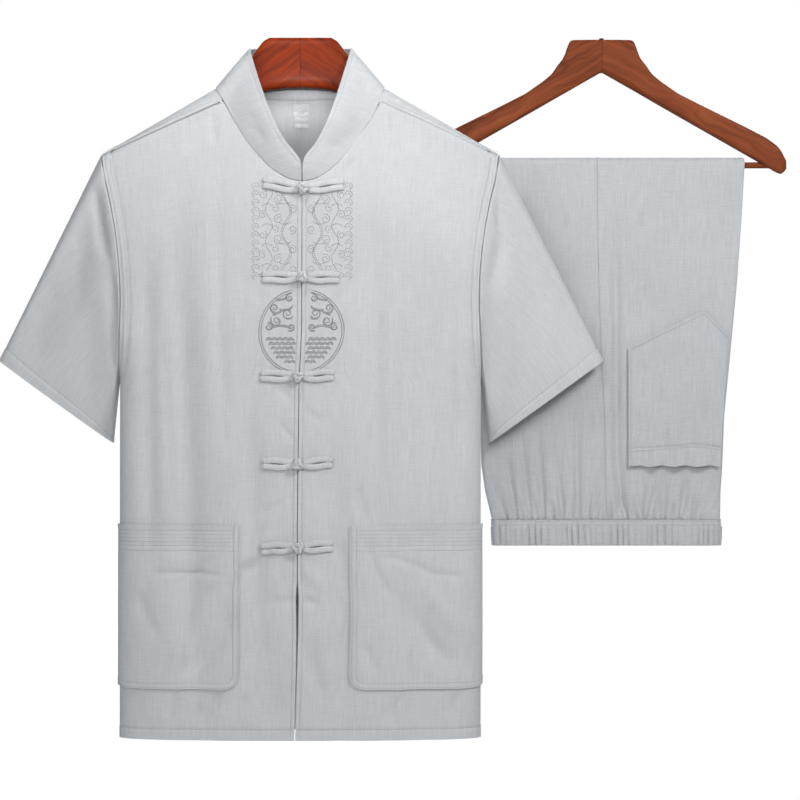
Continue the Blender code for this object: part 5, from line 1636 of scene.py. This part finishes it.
def back_stitching(points, normals):
    """The back's hem row and the row along each forward shoulder seam."""
    row = int(np.argmin(np.abs(points[:, points.shape[1] // 2, 2] - HEM_Z - HEM_TURN)))
    rise = JACKET_WALL / 2 + STITCH_RISE
    rows = [stitches(points[row] + normals[row] * rise, normals[row], STITCH_PITCH, JACKET_STITCH)]
    points, normals = points[:-2], normals[:-2]
    to_top = lengths_along(points[::-1])[::-1]
    line = np.argmin(np.abs(to_top - SEAM_ROW), axis=0)
    from_middle = np.arange(points.shape[1]) - points.shape[1] // 2
    for side in (1, -1):
        chosen = np.flatnonzero(side * from_middle > CORNER_COLUMN + 2)
        at, up = points[line[chosen], chosen], normals[line[chosen], chosen]
        at[:, 2] = np.convolve(np.pad(at[:, 2], 4, mode="edge"), np.ones(9) / 9, "valid")
        rows.append(stitches(at + up * rise, up, STITCH_PITCH, JACKET_STITCH))
    return rows


def collar_stitching(points, normals):
    """A row inside the collar's upper edge."""
    to_top = lengths_along(points[::-1])[::-1]
    columns = np.arange(points.shape[1])[4:-4]
    line = np.argmin(np.abs(to_top - COLLAR_ROW), axis=0)[4:-4]
    at, up = points[line, columns], normals[line, columns]
    return stitches(at + up * (COLLAR_WALL / 2 + 0.0001), up, 0.0032, JACKET_STITCH)


def make_frogs(cloth, sewing):
    """Five fastened frogs: a loop strap, a button strap and a knot each."""
    rows = []
    for number, frog in enumerate(FROGS, 1):
        for kind, side in (("loop", -1), ("strap", 1)):
            make_joined(f"{kind}_cords_{number}", frog_cords(frog, side), cloth, [f"frog_{kind}_{number}"])
            rows += frog_stitching(frog, side)
        make_joined(f"wrapped_knot_{number}", frog_knot(frog), cloth, [f"frog_knot_{number}"])
    make_joined("frog_stitching", rows, sewing)


def make_embroidery(running, raised):
    """The upper block in running stitch and the lower roundel in raised thread, on both sides."""
    dashes, threads = [], []
    for side in (-1, 1):
        for path in scroll_block():
            points, normals = placed_on_front(path, side)
            dashes.append(stitches(points + normals * 0.0001, normals, 0.0023, (0.0018, 0.0010, 0.0004)))
        for path in roundel_half():
            points, normals = placed_on_front(path, side)
            threads.append(cord_along(points + normals * 0.0001, normals, 0.00052, 0.00055, 6))
    make_joined("embroidered_scrolls", dashes, running)
    make_joined("embroidered_roundel", threads, raised)


def make_labels(tape):
    """The blank neck label and size tab, both small tapes."""
    for name, node, size in (("neck_tape", "neck_label", NECK_TAPE), ("size_tape", "size_tab", SIZE_TAPE)):
        grid = label_tape(*size)
        piece = make_piece(name, grid, [grid_faces(*grid.shape[:2])], tape, [node])
        wall = piece.modifiers.new("wall", "SOLIDIFY")
        wall.thickness = TAPE_WALL


def make_trousers(cloth, sewing):
    """Four panels, the waistband, the patch pocket and their stitching."""
    for name, near, right, columns in (("near_front", True, False, 124), ("near_back", True, True, 124),
                                       ("far_front", False, False, 40), ("far_back", False, True, 40)):
        panel = trouser_panel(near, right, columns)
        cut = {"held": "gathered" if near else "hung", "rests_on": ["trouser_bar"], "fuller": LEG_FULLNESS}
        make_cloth(f"{name}_cloth", panel, cloth, TROUSER_WALL, [f"{name}_panel"], cut)
    make_waistband(cloth)
    pocket = back_pocket()
    make_cloth("trouser_pocket_cloth", pocket, cloth, TROUSER_WALL, ["trouser_pocket"],
               {"held": "hung", "rests_on": ["near_back_panel"]})
    make_joined("trouser_stitching", trouser_stitching(pocket), sewing)


def make_waistband(cloth):
    """The waistband, a closed casing all round."""
    rings = waistband()
    count, columns = rings.shape[:2]
    faces = grid_faces(count + 1, columns, True) % (count * columns)
    places = cloth_places(np.concatenate([rings, rings[:1]]), True).reshape(-1, 2)
    uv = places[grid_faces(count + 1, columns + 1).reshape(-1)]
    piece = make_piece("waistband_cloth", rings, [faces], cloth, ["waistband"], uv)
    face_out(piece)


def face_out(piece):
    """Turns a closed piece's faces outwards if they point in: its volume tells."""
    mesh = piece.data
    points = np.empty(len(mesh.vertices) * 3)
    mesh.vertices.foreach_get("co", points)
    corners = np.empty(len(mesh.loops), np.int32)
    mesh.loops.foreach_get("vertex_index", corners)
    a, b, c, d = points.reshape(-1, 3)[corners.reshape(-1, 4)].transpose(1, 0, 2)
    volume = (np.cross(a, b) * c).sum() + (np.cross(a, c) * d).sum()
    if volume < 0:
        mesh.flip_normals()


def trouser_stitching(pocket):
    """Rows up the pocket's left edge and over its point, and two along its opening's hem."""
    front = np.array([0.0, -1.0, 0.0])
    out = pocket + front * (TROUSER_WALL / 2 + STITCH_RISE)
    heights = pocket[:, 0, 2] - pocket[0, 0, 2]
    hem_rows = [out[int(np.argmin(np.abs(heights - at)))] for at in OPENING_ROWS]
    return [stitches(path, np.broadcast_to(front, path.shape), STITCH_PITCH, TROUSER_STITCH)
            for path in (out[:, 2], out[-3, 2:-1], *hem_rows)]


def make_hangers(red_wood, brown_wood, metal):
    """The two hangers, the trouser bar and the ferrule."""
    points, faces = hanger(JACKET_HANGER, 0.0, 0.0, 0.0, soften=0.0012, power=0.42, tip_power=0.82)
    make_piece("jacket_hanger_wood", points, faces, red_wood, ["jacket_hanger"])
    points, faces = hanger(TROUSER_HANGER, TROUSER_HANGER_X, BAR_Y, TROUSER_HANGER_Z,
                           soften=0.0024, power=0.42, tip_power=0.42)
    make_piece("trouser_hanger_wood", points, faces, brown_wood, ["trouser_hanger"])
    end, rim = BAR_HALF, 0.0008
    bar = [(-end, BAR_RADIUS - rim), (-end + rim, BAR_RADIUS)]
    bar += [(along, BAR_RADIUS) for along in np.linspace(-0.2, 0.2, 9)]
    bar += [(end - rim, BAR_RADIUS), (end, BAR_RADIUS - rim)]
    points, faces = turned(bar, (TROUSER_HANGER_X, BAR_Y, BAR_Z), 0)
    make_piece("trouser_bar_wood", points, faces, brown_wood, ["trouser_bar"])
    foot = TROUSER_HANGER_Z + SEAM
    profile = ((0.0, 1.0), (0.7, 1.0), (1.0, 0.85), (1.0, 0.5), (0.4, 0.42))
    ferrule = [(FERRULE_HEIGHT * along, FERRULE_RADIUS * radius) for along, radius in profile]
    points, faces = turned(ferrule, (TROUSER_HANGER_X, BAR_Y, foot), 2)
    make_piece("hook_ferrule_metal", points, faces, metal, ["hook_ferrule"])


def make_stage(paper):
    """A pale round floor well below the uniform."""
    rings, sides = 7, 96
    turn = np.linspace(0, 2 * math.pi, sides + 1)[:-1]
    radius = np.linspace(0.0, 2.6, rings + 1)[1:, None]
    x, y = CAMERA_X + radius * np.cos(turn), radius * np.sin(turn)
    points = np.stack([x, y, np.full_like(x, FLOOR_Z)], axis=-1)
    mesh = bpy.data.meshes.new("floor")
    faces = grid_faces(rings, sides, True).tolist() + [list(range(sides))]
    mesh.from_pydata(points.reshape(-1, 3).tolist(), [], faces)
    mesh.materials.append(paper)
    floor = bpy.data.objects.new("floor", mesh)
    bpy.context.scene.collection.objects.link(floor)


def aimed_light(name, data, place, aim, power):
    """A light of some kind at a place, turned to an aim."""
    data.energy = power
    light = bpy.data.objects.new(name, data)
    light.location = place
    way = np.array(aim) - np.array(place)
    flat = math.hypot(way[0], way[1])
    light.rotation_euler = (math.atan2(flat, -way[2]), 0.0, math.atan2(-way[0], way[1]))
    bpy.context.scene.collection.objects.link(light)


def area_light(name, place, aim, size, power):
    """A square soft light at a place, turned to an aim."""
    data = bpy.data.lights.new(name, "AREA")
    data.size = size
    aimed_light(name, data, place, aim, power)


def narrow_light(name, place, aim, width, power):
    """A light with a narrow soft-edged cone, as wide as an angle, turned to an aim."""
    data = bpy.data.lights.new(name, "SPOT")
    data.spot_size = width
    data.spot_blend = 0.6
    data.shadow_soft_size = 0.02
    aimed_light(name, data, place, aim, power)


def light_and_camera():
    """Soft studio light, a narrow lamp for the inside of the neck, white all round as the camera
    sees it, and the camera square to the uniform."""
    for lamp in LAMPS:
        area_light(*lamp)
    narrow_light("inside", (0.0, -0.90, -0.076), (0.0, 0.05, -0.076), width=math.radians(5.0), power=19.0)
    world = bpy.data.worlds.new("studio")
    world.use_nodes = True
    nodes, links = world.node_tree.nodes, world.node_tree.links
    ground = nodes["Background"]
    ground.inputs["Color"].default_value = (1.0, 1.0, 1.0, 1.0)
    rays = nodes.new("ShaderNodeLightPath")
    strength = nodes.new("ShaderNodeMix")
    strength.inputs[2].default_value = LIGHT_ALL_ROUND
    strength.inputs[3].default_value = 1.0
    links.new(rays.outputs["Is Camera Ray"], strength.inputs[0])
    links.new(strength.outputs[0], ground.inputs["Strength"])
    bpy.context.scene.world = world
    bpy.context.scene.view_settings.view_transform = "Standard"
    data = bpy.data.cameras.new("camera")
    data.lens = CAMERA_LENS
    data.sensor_width = 36.0
    camera = bpy.data.objects.new("camera", data)
    camera.location = (CAMERA_X, CAMERA_Y, CAMERA_Z)
    camera.rotation_euler = (math.pi / 2, 0.0, 0.0)
    bpy.context.scene.collection.objects.link(camera)
    bpy.context.scene.camera = camera


def main():
    """Dresses the uniform and sets the studio."""
    deep = screen_colour(184, 187, 190)
    jacket_cloth = slubbed_cloth("jacket_cloth", screen_colour(214, 217, 220), deep)
    trouser_cloth = slubbed_cloth("trouser_cloth", screen_colour(204, 207, 211), screen_colour(169, 173, 176))
    cord_cloth = slubbed_cloth("frog_cord_cloth", screen_colour(214, 217, 219), deep, uv=False)
    sewing = thread("sewing_thread", screen_colour(138, 141, 144), 0.7)
    running = thread("running_stitch_thread", screen_colour(112, 115, 118), 0.6)
    raised = thread("raised_stitch_thread", screen_colour(142, 146, 148), 0.55)
    make_jacket(jacket_cloth, sewing)
    make_frogs(cord_cloth, sewing)
    make_embroidery(running, raised)
    make_labels(satin_tape("blank_satin_tape"))
    make_trousers(trouser_cloth, sewing)
    red = streaked_wood("red_varnished_wood", 0.0, 0.62, screen_colour(152, 54, 13), screen_colour(86, 26, 6),
                        screen_colour(42, 12, 6), 0.45, 0.02, 0.8)
    brown = streaked_wood("brown_stained_wood", TROUSER_HANGER_X, 0.50, screen_colour(146, 76, 44),
                          screen_colour(100, 48, 27), screen_colour(70, 32, 18), 0.55, 0.01, 0.35)
    make_hangers(red, brown, blackened_metal("blackened_metal"))
    make_stage(floor_paper("floor_paper"))
    light_and_camera()


main()
